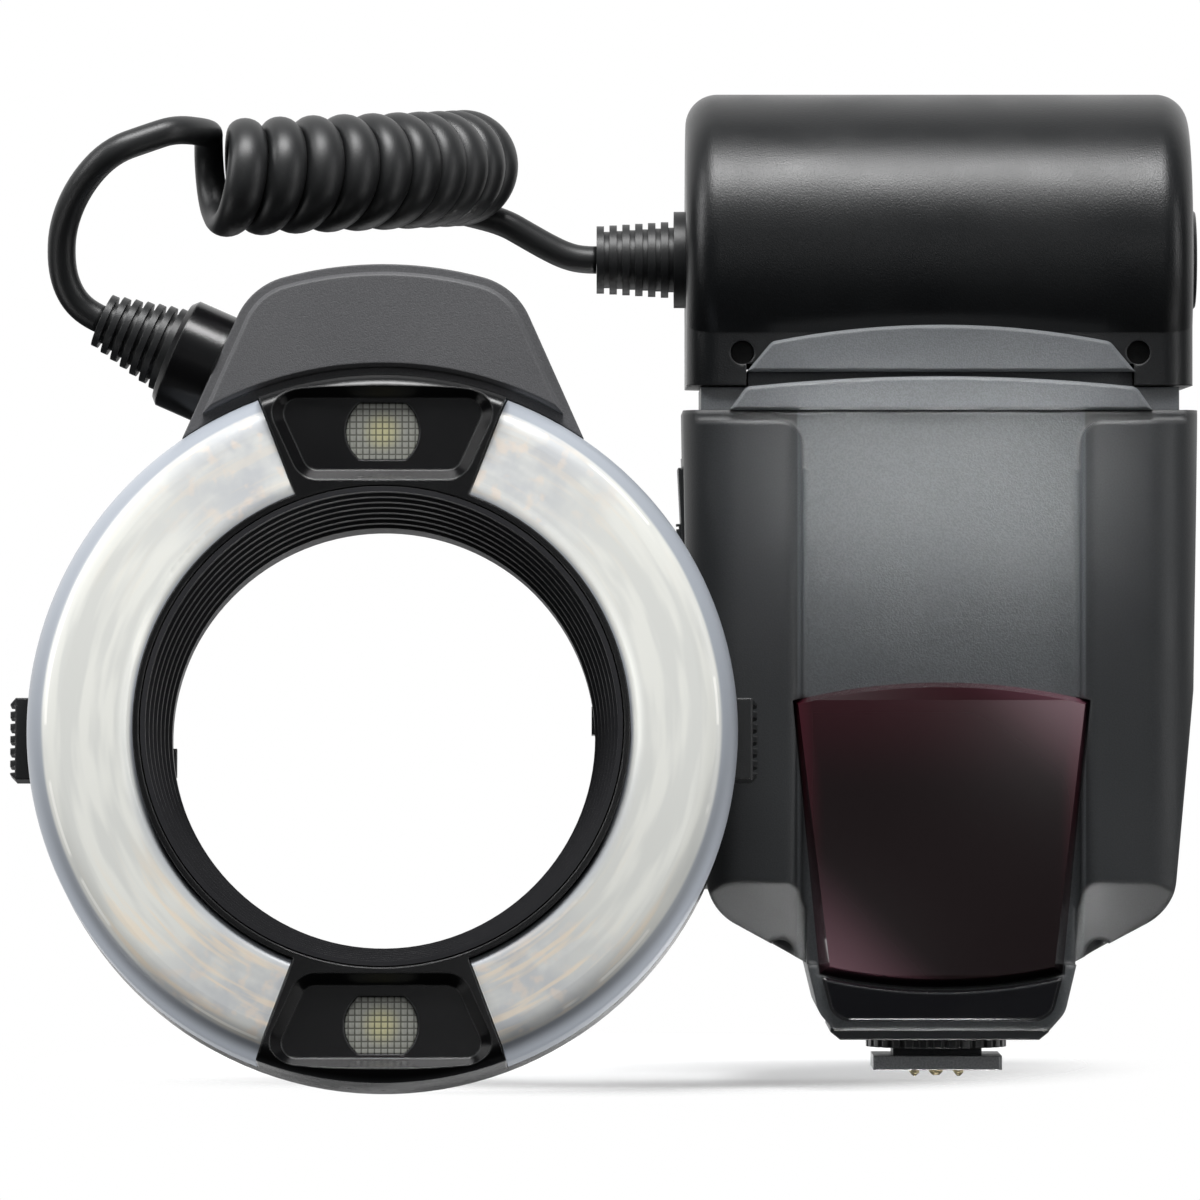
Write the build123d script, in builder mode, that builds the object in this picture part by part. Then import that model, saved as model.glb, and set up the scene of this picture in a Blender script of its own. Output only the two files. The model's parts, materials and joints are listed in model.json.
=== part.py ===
"""Macro ring flash: a control unit on a shoe foot, and a ring light on a curly cord.

Millimetres, +Z up.  The origin is the centre of the shoe foot's underside, +X is to the
right of somebody looking at the ring's lamps, and -Y is towards them.
"""
import math
import os

from build123d import *

os.makedirs("parts", exist_ok=True)

# Clearances and shared walls
seat_gap = 0.1
slide_gap = 0.25
shaft_gap = 0.05
overrun = 5.0
wall = 2.0

# Shoe foot, from the standard accessory shoe
foot_width = 18.6
foot_depth = 18.0
foot_thickness = 2.0
foot_edge = 0.4
block_width = 12.8
block_depth = 14.6
block_height = 1.0
spigot_radius = 5.6
wheel_radius = 10.2
wheel_height = 1.5
wheel_notch_radius = 0.45
wheel_notch_count = 30
base_width = 31.4
base_depth = 36.0
base_height = 1.7
base_bevel = 1.4
contact_radius = 1.0
side_contact_radius = 0.7
contact_pitch = 6.4
contact_drop = 1.1
contact_nose = 0.5
lock_pin_radius = 0.7
lock_pin_back = 4.3
lock_pin_length = 7.0
lock_pin_head_radius = 1.5
lock_pin_head_height = 0.8
lock_pin_sink = 1.3

# Control unit body
body_width = 73.8
body_top = 95.1
waist_width = 72.4
waist_height = 55.0
hip_width = 66.4
hip_height = 23.6
hip_radius = 8.0
jaw_width = 38.4
jaw_height = 15.8
jaw_low_width = 35.2
jaw_low_height = 9.0
jaw_corner = 4.0
rim_width = 30.6
panel_front = 24.6
pod_front = 27.6
pod_width = 17.0
pod_outer_radius = 8.0
pod_roll_radius = 2.4
pod_root_radius = 1.0
pod_top = 93.6
pod_shoulder = 3.4
bevel_height = 27.5
bevel_foot = 16.0
bevel_depth = 9.5
body_back = 28.0
back_radius = 7.0
back_bevel_depth = 11.0
jaw_front = 28.4
screw_recess_radius = 2.1
screw_recess_depth = 3.0
screw_place = 22.9
screw_front = 18.6
screw_head_height = 1.2

# Sensor window and chin
window_top_width = 42.6
window_top = 53.6
window_crown = 56.2
window_foot_width = 35.0
window_foot = 14.4
window_sag = 12.4
window_top_front = 27.2
window_foot_front = 30.6
window_draft = 14.0
window_thickness = 1.6
chin_height = 7.8
chin_top_width = 34.4
chin_foot_width = 31.2
chin_thickness = 1.7
chin_corner = 3.2
lamp_unit_width = 24.0
lamp_unit_height = 24.0
lamp_unit_low = 24.0
lamp_unit_depth = 8.0
lamp_eye_radius = 3.6
lamp_eye_pitch = 12.0
lamp_eye_depth = 0.8

# Back of the control unit
lcd_width = 46.0
lcd_height = 25.0
lcd_low = 65.5
lcd_margin = 2.4
lcd_proud = 0.6
lcd_radius = 1.6
lcd_panel_thickness = 3.0
board_side = 8.9
board_low = 31.0
board_high = 92.0
board_depth = 20.4
board_thickness = 1.6
post_radius = 2.2
post_inset = 4.0
key_proud = 1.1
key_travel = 0.7
key_lip = 0.9
key_lip_height = 1.2
key_radius = 3.1
key_row_height = 59.0
key_row_pitch = 15.0
pad_height = 42.6
pad_radius = 10.6
pad_inner_radius = 5.2
pad_split = 1.4
set_key_radius = 4.4
switch_side = 14.4
switch_gap = 7.2
switch_travel = 4.0
switch_width = 5.4
switch_length = 6.0
switch_proud = 1.4
switch_slot_wall = 1.0

# Battery side
door_top = 87.0
door_foot = 27.0
door_top_proud = 0.6
door_foot_out = 34.4
door_thickness = 2.4
door_front = -9.0
door_back = 17.6
latch_height = 46.0
latch_front = 2.0
latch_length = 6.0
latch_width = 9.0
latch_travel = 2.5
latch_sink = 1.0
latch_proud = 0.7
latch_rib_count = 4
latch_rib_cut = 0.4
hinge_pin_radius = 0.6
hinge_pin_extra = 1.6
cell_radius = 7.25
cell_length = 48.5
cell_count = 4
cell_pitch = 14.7
cell_low = 28.2
cell_nub_radius = 2.7
cell_nub_length = 1.4
cell_depth = 4.2
chamber_wall = 1.2
chamber_gap = 0.25
chamber_mouth = 30.9
contact_strip_thickness = 0.4
contact_strip_width = 10.0

# Terminal cover on the right side
cover_width = 14.0
cover_length = 19.0
cover_thickness = 1.4
cover_proud = 0.7
cover_back = 1.0
cover_place_share = 0.42
cover_rib_count = 9
cover_rib_depth = 0.5
socket_width = 8.0
socket_length = 11.0
socket_depth = 5.0

# Neck and lamp-head shaped top housing
lower_collar_width = 60.4
lower_collar_rake = 2.3
lower_collar_shoulder = 98.4
lower_collar_crown = 99.9
lower_collar_front = 25.6
collar_back = 22.0
neck_core_depth = 40.0
neck_shoulder_inset = 2.1
collar_corner = 1.6
upper_collar_width = 55.6
upper_collar_low = 100.6
upper_collar_rake = 3.6
upper_collar_shoulder = 104.9
upper_collar_crown = 107.3
upper_collar_front = 24.7
upper_collar_lip = 5.6
head_floor = 101.8
head_width = 72.8
head_height = 117.3
head_radius = 24.0
head_end_radius = 4.6
skirt_low = 98.7
skirt_depth = 42.6
skirt_top = 110.0
head_screw_gap = 0.6
head_screw_height = 103.4
head_screw_radius = 1.7
head_screw_depth = 2.4
end_cap_radius = 7.4
end_cap_height = 1.2
end_cap_edge = 0.5
capacitor_radius = 14.5
capacitor_length = 58.0
saddle_place = 18.0
saddle_width = 2.4

# Strain reliefs
flange_radius = 7.0
flange_length = 1.7
control_relief_length = 11.2
control_relief_root = 5.5
control_relief_tip = 4.9
ring_relief_length = 9.9
ring_relief_root = 5.8
ring_relief_tip = 3.9
relief_rib_count = 6
relief_groove_depth = 0.8
relief_groove_share = 0.42

# Ring light
ring_x = -79.4
ring_y = -33.6
ring_z = 47.3
ring_lean = 7.0
ring_radius = 50.0
diffuser_wall = 1.5
diffuser_front = 25.0
diffuser_outer_front = 23.8
diffuser_outer_edge = 5.5
diffuser_inner_edge = 1.8
diffuser_span = 138.6
diffuser_end_span = 2.0
plate_back = 9.4
plate_thickness = 1.6
rim_radius = 34.9
rim_wall = 0.9
segment_span = 41.0
segment_edge = 2.6
recess_depth = 2.2
recess_draft = 35.0
recess_foot_width = 21.0
recess_head_width = 30.4
recess_foot = 36.3
recess_head = 46.6
led_width = 10.4
led_height = 8.1
led_place = 41.9
led_window_thickness = 1.8
led_window_set = 0.4
led_ledge = 0.8
led_chip_width = 5.0
led_chip_height = 1.3
bore_radius = 29.9
bore_mouth_radius = 30.3
bore_mouth_length = 4.6
bore_length = 9.0
liner_outer_radius = 31.5
liner_flare_start = 11.6
liner_flare_radius = 33.9
liner_rim_radius = 33.1
liner_step_count = 7
rear_floor = 1.8
rear_wall = 1.8
rear_inner_wall = 1.6
rear_edge = 2.5
ring_post_radius = 1.9
ring_post_bite = 0.1
ring_screw_radius = 0.9
ring_screw_head = 1.5
ring_screw_sink = 1.1
board_ring_inner = 37.6
board_ring_outer = 45.8
board_ring_thickness = 1.5
reflector_inner = 37.4
reflector_outer = 47.8
reflector_lip = 15.5
reflector_sheet = 0.5
reflector_span = 124.0
tube_radius = 2.1
tube_front = 17.4
tube_span = 130.0
tube_leg_radius = 1.3

# Release buttons and their claws
button_width = 11.6
button_out = 52.9
button_in = 48.4
button_back = 2.3
button_front = 8.1
button_edge = 0.8
button_tooth_pitch = 1.74
button_tooth_count = 6
button_tooth_depth = 0.7
button_travel = 2.0
slider_thickness = 1.8
slider_outer = 44.0
slider_inner = 39.0
slider_arm_low = 1.0
slider_arm_high = 5.0
claw_reach = 29.4

# Top housing of the ring
hump_base_half = 28.3
hump_shoulder_half = 18.8
hump_shoulder = 62.8
hump_crown = 66.2
hump_corner = 10.0
hump_back = 1.5
hump_split = 17.5
hump_front = 21.0
hump_inset = 1.3
hump_face_edge = 1.0
hump_wall = 2.0
transformer_width = 16.0
transformer_height = 8.0
transformer_depth = 11.0
boss_radius = 8.0
boss_length = 7.0
boss_step_radius = 6.1
boss_step_length = 1.1
boss_edge = 0.8
boss_front = 11.5

# Curly cord
cord_diameter = 4.0
coil_outer_diameter = 16.8
coil_pitch = 5.2
coil_turns = 10.5
coil_start = (-104.3, -37.0, 127.7)
coil_rise = 3.0
coil_yaw_start = 10.0
coil_yaw_end = 80.0
heading_step_share = 0.001
fillet_share = 0.45
ring_exit_run = 2.5
ring_lead_route = [
    (-124.1, -38.2, 111.4),
    (-125.2, -39.2, 115.4),
    (-124.9, -40.9, 121.0),
    (-122.3, -44.0, 126.6),
    (-117.9, -46.7, 131.2),
    (-112.5, -45.0, 133.2),
]
control_exit_run = 2.0
control_lead_route = [
    (-59.5, -0.7, 120.9),
    (-56.5, -0.35, 119.2),
    (-53.8, -0.1, 117.9),
]

wheel_bottom = foot_thickness + block_height + seat_gap
base_bottom = wheel_bottom + wheel_height + seat_gap
body_bottom = base_bottom + base_height
FRONT = Plane.XZ
pod_inner = body_width / 2 - pod_width
board_width = body_width - 2 * board_side
switch_place = body_width / 2 - switch_side
switch_height = key_row_height - key_radius - switch_gap - switch_width / 2
door_top_out = body_width / 2 + door_top_proud
lower_collar_top_width = lower_collar_width - 2 * lower_collar_rake
upper_collar_top_width = upper_collar_width - 2 * upper_collar_rake
head_screw_place = upper_collar_width / 2 + head_screw_gap
neck_core_width = upper_collar_width - 2 * slide_gap
ring_post_place = liner_outer_radius + seat_gap + rear_inner_wall + ring_post_radius - ring_post_bite
tube_place = (reflector_inner + reflector_outer) / 2
screw_seat = bevel_foot + screw_recess_depth + bevel_depth / 2


def export(name, part):
    part.label = name
    export_step(part, f"parts/{name}.step")


def closed_outline(plane, points, radii=0):
    """A flat face inside straight runs, with a radius for each corner, or one for all."""
    with BuildSketch(plane) as face:
        with BuildLine():
            if radii == 0:
                Polyline(*points, close=True)
            else:
                FilletPolyline(*points, radius=radii, close=True)
        make_face()
    return face.sketch


def mirrored(half):
    """The right-hand points of an outline, followed by their mirror images."""
    return half + [(-x, z) for x, z in reversed(half)]


# Shoe foot, its contacts and the lock wheel
with BuildPart() as shoe_plate:
    with BuildSketch():
        Rectangle(foot_width, foot_depth)
    extrude(amount=foot_thickness)
    chamfer(shoe_plate.edges().filter_by(Axis.Z), foot_edge)
    with BuildSketch():
        Circle(contact_radius + shaft_gap)
        with GridLocations(contact_pitch, contact_pitch, 2, 2):
            Circle(side_contact_radius + shaft_gap)
        with Locations((0, -lock_pin_back)):
            Circle(lock_pin_radius + shaft_gap)
    extrude(amount=foot_thickness, mode=Mode.SUBTRACT)
export("shoe_plate", shoe_plate.part)

with BuildPart() as shoe_contacts:
    with BuildSketch(Plane.XY.offset(-contact_drop)):
        Circle(contact_radius)
        with GridLocations(contact_pitch, contact_pitch, 2, 2):
            Circle(side_contact_radius)
    extrude(amount=contact_drop + base_bottom)
    tips = shoe_contacts.faces().group_by(Axis.Z)[0]
    chamfer(tips.edges(), contact_nose)
export("shoe_contacts", shoe_contacts.part)

with BuildPart() as shoe_lock_wheel:
    with BuildSketch(Plane.XY.offset(wheel_bottom)):
        Circle(wheel_radius)
        Circle(spigot_radius + shaft_gap, mode=Mode.SUBTRACT)
        with PolarLocations(wheel_radius, wheel_notch_count):
            Circle(wheel_notch_radius, mode=Mode.SUBTRACT)
    extrude(amount=wheel_height)
export("shoe_lock_wheel", shoe_lock_wheel.part)

with BuildPart() as shoe_lock_pin:
    with BuildSketch(Plane.XY.offset(contact_nose)):
        with Locations((0, -lock_pin_back)):
            Circle(lock_pin_radius)
    extrude(amount=lock_pin_length)
    with BuildSketch(Plane.XY.offset(contact_nose + lock_pin_length)):
        with Locations((0, -lock_pin_back)):
            Circle(lock_pin_head_radius)
    extrude(amount=lock_pin_head_height)
export("shoe_lock_pin", shoe_lock_pin.part)

with BuildPart() as shoe_base:
    base_points = [
        (base_width / 2, body_bottom),
        (base_width / 2, body_bottom - base_height / 3),
        (base_width / 2 - base_bevel, base_bottom),
    ]
    extrude(closed_outline(FRONT, mirrored(base_points)), amount=base_depth / 2, both=True)
    with BuildSketch(Plane.XY.offset(foot_thickness)):
        Circle(spigot_radius)
    extrude(amount=base_bottom - foot_thickness)
    with BuildSketch(Plane.XY.offset(foot_thickness)):
        Rectangle(block_width, block_depth)
    extrude(amount=block_height)
    with BuildSketch(Plane.XY.offset(foot_thickness)):
        Circle(contact_radius + shaft_gap)
        with GridLocations(contact_pitch, contact_pitch, 2, 2):
            Circle(side_contact_radius + shaft_gap)
    extrude(amount=base_bottom - foot_thickness + contact_drop, mode=Mode.SUBTRACT)
    with BuildSketch(Plane.XY.offset(foot_thickness)):
        with Locations((0, -lock_pin_back)):
            Circle(lock_pin_radius + shaft_gap)
    extrude(amount=body_bottom - foot_thickness, mode=Mode.SUBTRACT)
    with BuildSketch(Plane.XY.offset(body_bottom)):
        with Locations((0, -lock_pin_back)):
            Circle(lock_pin_head_radius + slide_gap)
    extrude(amount=-lock_pin_sink, mode=Mode.SUBTRACT)
export("shoe_base", shoe_base.part)

# Body silhouette, seen from the front
body_half = [
    (body_width / 2, body_top),
    (waist_width / 2, waist_height),
    (hip_width / 2, hip_height),
    (jaw_width / 2, jaw_height),
    (jaw_low_width / 2, jaw_low_height),
    (rim_width / 2, body_bottom),
]


def body_face(inset):
    half = [(x - inset, z) for x, z in body_half]
    half[0] = (body_width / 2 - inset, body_top - inset)
    half[3] = (jaw_width / 2 - inset, jaw_height + inset)
    half[-1] = (rim_width / 2 - inset, body_bottom + inset)
    corner = hip_radius - inset
    radii = [0, overrun, corner, 0, jaw_corner - inset, 0]
    return closed_outline(FRONT, mirrored(half), radii + radii[::-1])


def arch(plane, half_low, low, half_high, shoulder, crown, foot=None):
    """A face with straight leaning sides, a bowed top and a level or bowed foot."""
    with BuildSketch(plane) as face:
        with BuildLine():
            ThreePointArc((-half_high, shoulder), (0, crown), (half_high, shoulder))
            Line((half_high, shoulder), (half_low, low))
            if foot is None:
                Line((half_low, low), (-half_low, low))
            else:
                ThreePointArc((half_low, low), (0, foot), (-half_low, low))
            Line((-half_low, low), (-half_high, shoulder))
        make_face()
    return face.sketch


def window_face(margin):
    return arch(
        FRONT.offset(panel_front),
        window_foot_width / 2 + margin,
        window_foot - margin,
        window_top_width / 2 + margin,
        window_top + margin,
        window_crown + margin,
        window_sag - margin,
    )


def front_plan(inset):
    """Plan of the front half: two rounded pods beside a flat centre panel."""
    side = body_width / 2 - inset
    front = pod_front - inset
    step = pod_inner + inset
    panel = panel_front - inset
    half = [(side, overrun), (side, -front), (step, -front), (step, -panel)]
    radii = [0, pod_outer_radius - inset, pod_roll_radius, pod_root_radius]
    return closed_outline(Plane.XY, mirrored(half), radii + radii[::-1])


# The battery door lies in a plane that leans with the left side
door_lean = math.atan2(door_top_out - door_foot_out, door_top - door_foot)
door_height = (door_top - door_foot) / math.cos(door_lean)
door_plane = Plane(
    origin=(-door_foot_out, 0, door_foot),
    x_dir=(0, 1, 0),
    z_dir=(-math.sin(door_lean), 0, math.cos(door_lean)),
)
barrel_radius = door_thickness / 2


def door_slab(margin, length):
    """The door in plan: a slab whose back edge is rounded about the hinge."""
    with BuildPart() as slab:
        with BuildSketch(door_plane.offset(-margin)):
            with Locations((door_front - margin, margin)):
                Rectangle(
                    door_back - door_front + margin,
                    door_thickness + 2 * margin,
                    align=(Align.MIN, Align.MAX),
                )
            with Locations((door_back, -barrel_radius)):
                Circle(barrel_radius + margin)
        extrude(amount=length + 2 * margin)
    return slab.part


def door_opening():
    """The door's slot in the shells, open to the outside and cut back behind the hinge."""
    with BuildPart() as opening:
        add(door_slab(slide_gap, door_height))
        with BuildSketch(door_plane.offset(-slide_gap)):
            with Locations((door_front - slide_gap, -barrel_radius)):
                Rectangle(
                    door_back - door_front + barrel_radius + 3 * slide_gap,
                    overrun,
                    align=(Align.MIN, Align.MIN),
                )
        extrude(amount=door_height + 2 * slide_gap)
    return opening.part


def hinge_pin_body(margin):
    """The pin along the door's rounded edge, longer than the door at both ends."""
    with BuildPart() as pin:
        with BuildSketch(door_plane.offset(-hinge_pin_extra)):
            with Locations((door_back, -barrel_radius)):
                Circle(hinge_pin_radius + margin)
        extrude(amount=door_height + 2 * hinge_pin_extra)
    return pin.part


# The terminal cover lies on the right side, which leans between waist and hip
side_lean = math.atan2((waist_width - hip_width) / 2, waist_height - hip_height)
cover_share = cover_place_share
cover_plane = Plane(
    origin=(
        hip_width / 2 + (waist_width - hip_width) / 2 * cover_share,
        cover_back,
        hip_height + (waist_height - hip_height) * cover_share,
    ),
    x_dir=(0, 1, 0),
    z_dir=(math.cos(side_lean), 0, -math.sin(side_lean)),
)


def cover_slab(margin):
    """The cover: a plate that lies half in a shallow pocket of the side."""
    with BuildPart() as slab:
        with BuildSketch(cover_plane.offset(cover_proud - cover_thickness - margin)):
            Rectangle(cover_width + 2 * margin, cover_length + 2 * margin)
        extrude(amount=cover_thickness + 2 * margin)
    return slab.part


def socket_block(margin):
    with BuildPart() as block:
        with BuildSketch(cover_plane.offset(cover_proud - cover_thickness - margin)):
            Rectangle(socket_width + 2 * margin, socket_length + 2 * margin)
        extrude(amount=-socket_depth)
    return block.part


with BuildPart() as jaw_block:
    jaw_points = [
        (jaw_width / 2, jaw_height),
        (jaw_low_width / 2, jaw_low_height),
        (rim_width / 2, body_bottom),
    ]
    jaw_radii = [0, jaw_corner, 0, 0, jaw_corner, 0]
    jaw_sketch = closed_outline(FRONT.offset(panel_front - wall), mirrored(jaw_points), jaw_radii)
    extrude(jaw_sketch, amount=jaw_front - panel_front + wall)
    extrude(window_face(0), amount=overrun, mode=Mode.SUBTRACT)

with BuildPart() as front_cavity:
    extrude(body_face(wall), amount=panel_front - wall)
    extrude(front_plan(wall), amount=body_top, mode=Mode.INTERSECT)
    bevel_room = pod_front - bevel_depth - wall
    with BuildSketch(Plane.XY.offset(-overrun)):
        with Locations((jaw_width / 2 - wall, -bevel_room)):
            Rectangle(body_width, pod_front, align=(Align.MIN, Align.MAX))
        with Locations((wall - jaw_width / 2, -bevel_room)):
            Rectangle(body_width, pod_front, align=(Align.MAX, Align.MAX))
    extrude(amount=bevel_height + wall + overrun, mode=Mode.SUBTRACT)

with BuildPart() as body_front_shell:
    extrude(body_face(0), amount=pod_front)
    extrude(front_plan(0), amount=body_top, mode=Mode.INTERSECT)
    pod_cut = [
        (body_width / 2 + overrun, body_top + overrun),
        (body_width / 2 + overrun, pod_top),
        (pod_inner, pod_top),
        (pod_inner, pod_top - 2 * pod_shoulder),
        (0, pod_top - 2 * pod_shoulder),
        (0, body_top + overrun),
    ]
    mirror_cut = [(-x, z) for x, z in pod_cut]
    pod_radii = [0, 0, pod_shoulder, 0, 0, 0]
    for cut in (pod_cut, mirror_cut):
        above_pods = closed_outline(FRONT.offset(panel_front), cut, pod_radii)
        extrude(above_pods, amount=overrun, mode=Mode.SUBTRACT)
    bevel = [
        (-pod_front - overrun, bevel_foot - overrun),
        (-pod_front - overrun, bevel_height),
        (-pod_front, bevel_height),
        (-pod_front + bevel_depth, bevel_foot),
        (-pod_front + bevel_depth, bevel_foot - overrun),
    ]
    with BuildSketch(Plane.YZ.offset(jaw_width / 2)):
        with BuildLine():
            Polyline(*bevel, close=True)
        make_face()
    extrude(amount=body_width / 2, mode=Mode.SUBTRACT)
    with BuildSketch(Plane.YZ.offset(-jaw_width / 2)):
        with BuildLine():
            Polyline(*bevel, close=True)
        make_face()
    extrude(amount=-body_width / 2, mode=Mode.SUBTRACT)
    add(jaw_block.part)
    extrude(window_face(0), amount=overrun, mode=Mode.SUBTRACT)
    add(front_cavity.part, mode=Mode.SUBTRACT)
    add(door_opening(), mode=Mode.SUBTRACT)
    add(cover_slab(seat_gap), mode=Mode.SUBTRACT)
    add(socket_block(seat_gap), mode=Mode.SUBTRACT)
    with BuildSketch(FRONT.offset(panel_front)):
        with Locations((0, lamp_unit_low + lamp_unit_height / 2)):
            Rectangle(lamp_unit_width + 2 * seat_gap, lamp_unit_height + 2 * seat_gap)
    extrude(amount=-wall, mode=Mode.SUBTRACT)
    with BuildSketch(Plane.XY.offset(screw_seat)):
        with Locations((screw_place, -screw_front), (-screw_place, -screw_front)):
            Circle(screw_recess_radius)
    extrude(amount=-2 * overrun, mode=Mode.SUBTRACT)
    with BuildSketch(Plane.XY.offset(body_bottom)):
        with Locations((0, -lock_pin_back)):
            Circle(lock_pin_head_radius + slide_gap)
    extrude(amount=wall, mode=Mode.SUBTRACT)
export("body_front_shell", body_front_shell.part)

with BuildPart() as rear_cavity:
    extrude(body_face(wall), amount=-(body_back - wall))
    with BuildSketch(Plane.XY):
        Rectangle(body_width - 2 * back_radius, 2 * (body_back - wall))
        Rectangle(body_width, 2 * (body_back - back_radius))
    extrude(amount=body_top, mode=Mode.INTERSECT)
    with BuildSketch(Plane.XY.offset(-overrun)):
        with Locations((0, body_back - back_bevel_depth - wall)):
            Rectangle(body_width, body_back, align=(Align.CENTER, Align.MIN))
    extrude(amount=bevel_height + wall + overrun, mode=Mode.SUBTRACT)

key_places = [(-key_row_pitch, key_row_height), (0, key_row_height), (key_row_pitch, key_row_height)]
key_names = ["mode_key", "lamp_key", "pilot_key"]
BACK = Plane.XZ.offset(-body_back)
INNER_BACK = Plane.XZ.offset(-(body_back - wall))
key_back = Plane.XZ.offset(-(body_back - wall - seat_gap))
key_length = wall + seat_gap + key_proud


def pad_key_face(turn, radius):
    """A quarter of a ring round the set key, parted from its neighbours."""
    with BuildSketch(key_back) as face:
        with Locations((0, pad_height)):
            Circle(radius)
            Circle(pad_inner_radius, mode=Mode.SUBTRACT)
        reach = pad_radius * 2
        corner = pad_height + pad_split / math.sqrt(2)
        with BuildLine():
            Polyline((0, corner), (reach, corner + reach), (-reach, corner + reach), close=True)
        make_face(mode=Mode.INTERSECT)
    return face.sketch.rotate(Axis((0, 0, pad_height), (0, 1, 0)), turn)


with BuildPart() as body_rear_shell:
    extrude(body_face(0), amount=-body_back)
    rear_half = [(body_width / 2, -overrun), (body_width / 2, body_back)]
    extrude(
        closed_outline(Plane.XY, mirrored(rear_half), [0, back_radius, back_radius, 0]),
        amount=body_top,
        mode=Mode.INTERSECT,
    )
    rear_bevel = [
        (body_back + overrun, body_bottom - overrun),
        (body_back + overrun, bevel_height),
        (body_back, bevel_height),
        (body_back - back_bevel_depth, body_bottom),
        (body_back - back_bevel_depth, body_bottom - overrun),
    ]
    with BuildSketch(Plane.YZ):
        with BuildLine():
            Polyline(*rear_bevel, close=True)
        make_face()
    extrude(amount=body_width, both=True, mode=Mode.SUBTRACT)
    add(rear_cavity.part, mode=Mode.SUBTRACT)
    add(door_opening(), mode=Mode.SUBTRACT)
    add(cover_slab(seat_gap), mode=Mode.SUBTRACT)
    add(socket_block(seat_gap), mode=Mode.SUBTRACT)
    with BuildSketch(INNER_BACK):
        with Locations((0, lcd_low + lcd_height / 2)):
            RectangleRounded(lcd_width + 2 * seat_gap, lcd_height + 2 * seat_gap, lcd_radius)
        with Locations(*key_places):
            Circle(key_radius + slide_gap)
        with Locations((0, pad_height)):
            Circle(pad_radius + slide_gap)
        with Locations((switch_place, switch_height)):
            Rectangle(switch_length + switch_travel + 2 * slide_gap, switch_width + 2 * slide_gap)
    extrude(amount=-wall, mode=Mode.SUBTRACT)
    with BuildSketch(INNER_BACK):
        with Locations((0, (board_low + board_high) / 2)):
            with GridLocations(board_width - 2 * post_inset, board_high - board_low - 2 * post_inset, 2, 2):
                Circle(post_radius)
    extrude(amount=body_back - wall - board_depth - board_thickness)
    add(hinge_pin_body(0), mode=Mode.SUBTRACT)
export("body_rear_shell", body_rear_shell.part)

with BuildPart() as sensor_window:
    extrude(window_face(-seat_gap), amount=window_foot_front - panel_front, taper=window_draft)
    slope = [
        (-panel_front, 0),
        (-window_foot_front, 0),
        (-window_foot_front, window_foot),
        (-window_top_front, window_top),
        (-window_top_front, body_top),
        (-panel_front, body_top),
    ]
    with BuildSketch(Plane.YZ):
        with BuildLine():
            Polyline(*slope, close=True)
        make_face()
    extrude(amount=window_top_width, both=True, mode=Mode.INTERSECT)
    window_room = window_top_front - panel_front - window_thickness
    extrude(window_face(-window_thickness - seat_gap), amount=window_room, mode=Mode.SUBTRACT)
export("sensor_window", sensor_window.part)

with BuildPart() as chin_bezel:
    with BuildSketch(FRONT.offset(jaw_front)):
        with BuildLine():
            top = window_foot - 2 * seat_gap
            ThreePointArc(
                (-chin_top_width / 2, top),
                (0, window_sag - 2 * seat_gap),
                (chin_top_width / 2, top),
            )
            Line((chin_top_width / 2, top), (chin_foot_width / 2, chin_height))
            Line((chin_foot_width / 2, chin_height), (-chin_foot_width / 2, chin_height))
            Line((-chin_foot_width / 2, chin_height), (-chin_top_width / 2, top))
        make_face()
    extrude(amount=chin_thickness)
    low_sides = chin_bezel.edges().filter_by(Axis.Y).group_by(Axis.Z)[0]
    fillet(low_sides, chin_corner)
    chamfer(chin_bezel.faces().sort_by(Axis.Y)[0].edges(), foot_edge)
export("chin_bezel", chin_bezel.part)

with BuildPart() as assist_lamp:
    with BuildSketch(FRONT.offset(panel_front)):
        with Locations((0, lamp_unit_low + lamp_unit_height / 2)):
            Rectangle(lamp_unit_width, lamp_unit_height)
    extrude(amount=-lamp_unit_depth)
    with BuildSketch(FRONT.offset(panel_front)):
        with Locations((0, lamp_unit_low + lamp_unit_height / 2)):
            with GridLocations(lamp_eye_pitch, lamp_eye_pitch, 2, 1):
                Circle(lamp_eye_radius)
    extrude(amount=lamp_eye_depth)
export("assist_lamp", assist_lamp.part)

with BuildPart() as control_board:
    with BuildSketch(Plane.XZ.offset(-board_depth)):
        with Locations((0, (board_low + board_high) / 2)):
            Rectangle(board_width, board_high - board_low)
    extrude(amount=-board_thickness)
export("control_board", control_board.part)

board_face = board_depth + board_thickness
with BuildPart() as lcd_panel:
    with BuildSketch(Plane.XZ.offset(-board_face)):
        with Locations((0, lcd_low + lcd_height / 2)):
            Rectangle(lcd_width - 2 * lcd_margin, lcd_height - lcd_margin)
    extrude(amount=-lcd_panel_thickness)
export("lcd_panel", lcd_panel.part)

with BuildPart() as lcd_window:
    with BuildSketch(INNER_BACK):
        with Locations((0, lcd_low + lcd_height / 2)):
            RectangleRounded(lcd_width, lcd_height, lcd_radius)
    extrude(amount=-(wall + lcd_proud))
export("lcd_window", lcd_window.part)

for name, place in zip(key_names, key_places):
    with BuildPart() as key:
        with BuildSketch(key_back):
            with Locations(place):
                Circle(key_radius + key_lip)
        extrude(amount=key_lip_height)
        with BuildSketch(key_back):
            with Locations(place):
                Circle(key_radius)
        extrude(amount=-key_length)
        fillet(key.faces().sort_by(Axis.Y)[-1].edges(), key_proud / 2)
    export(name, key.part)

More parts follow.
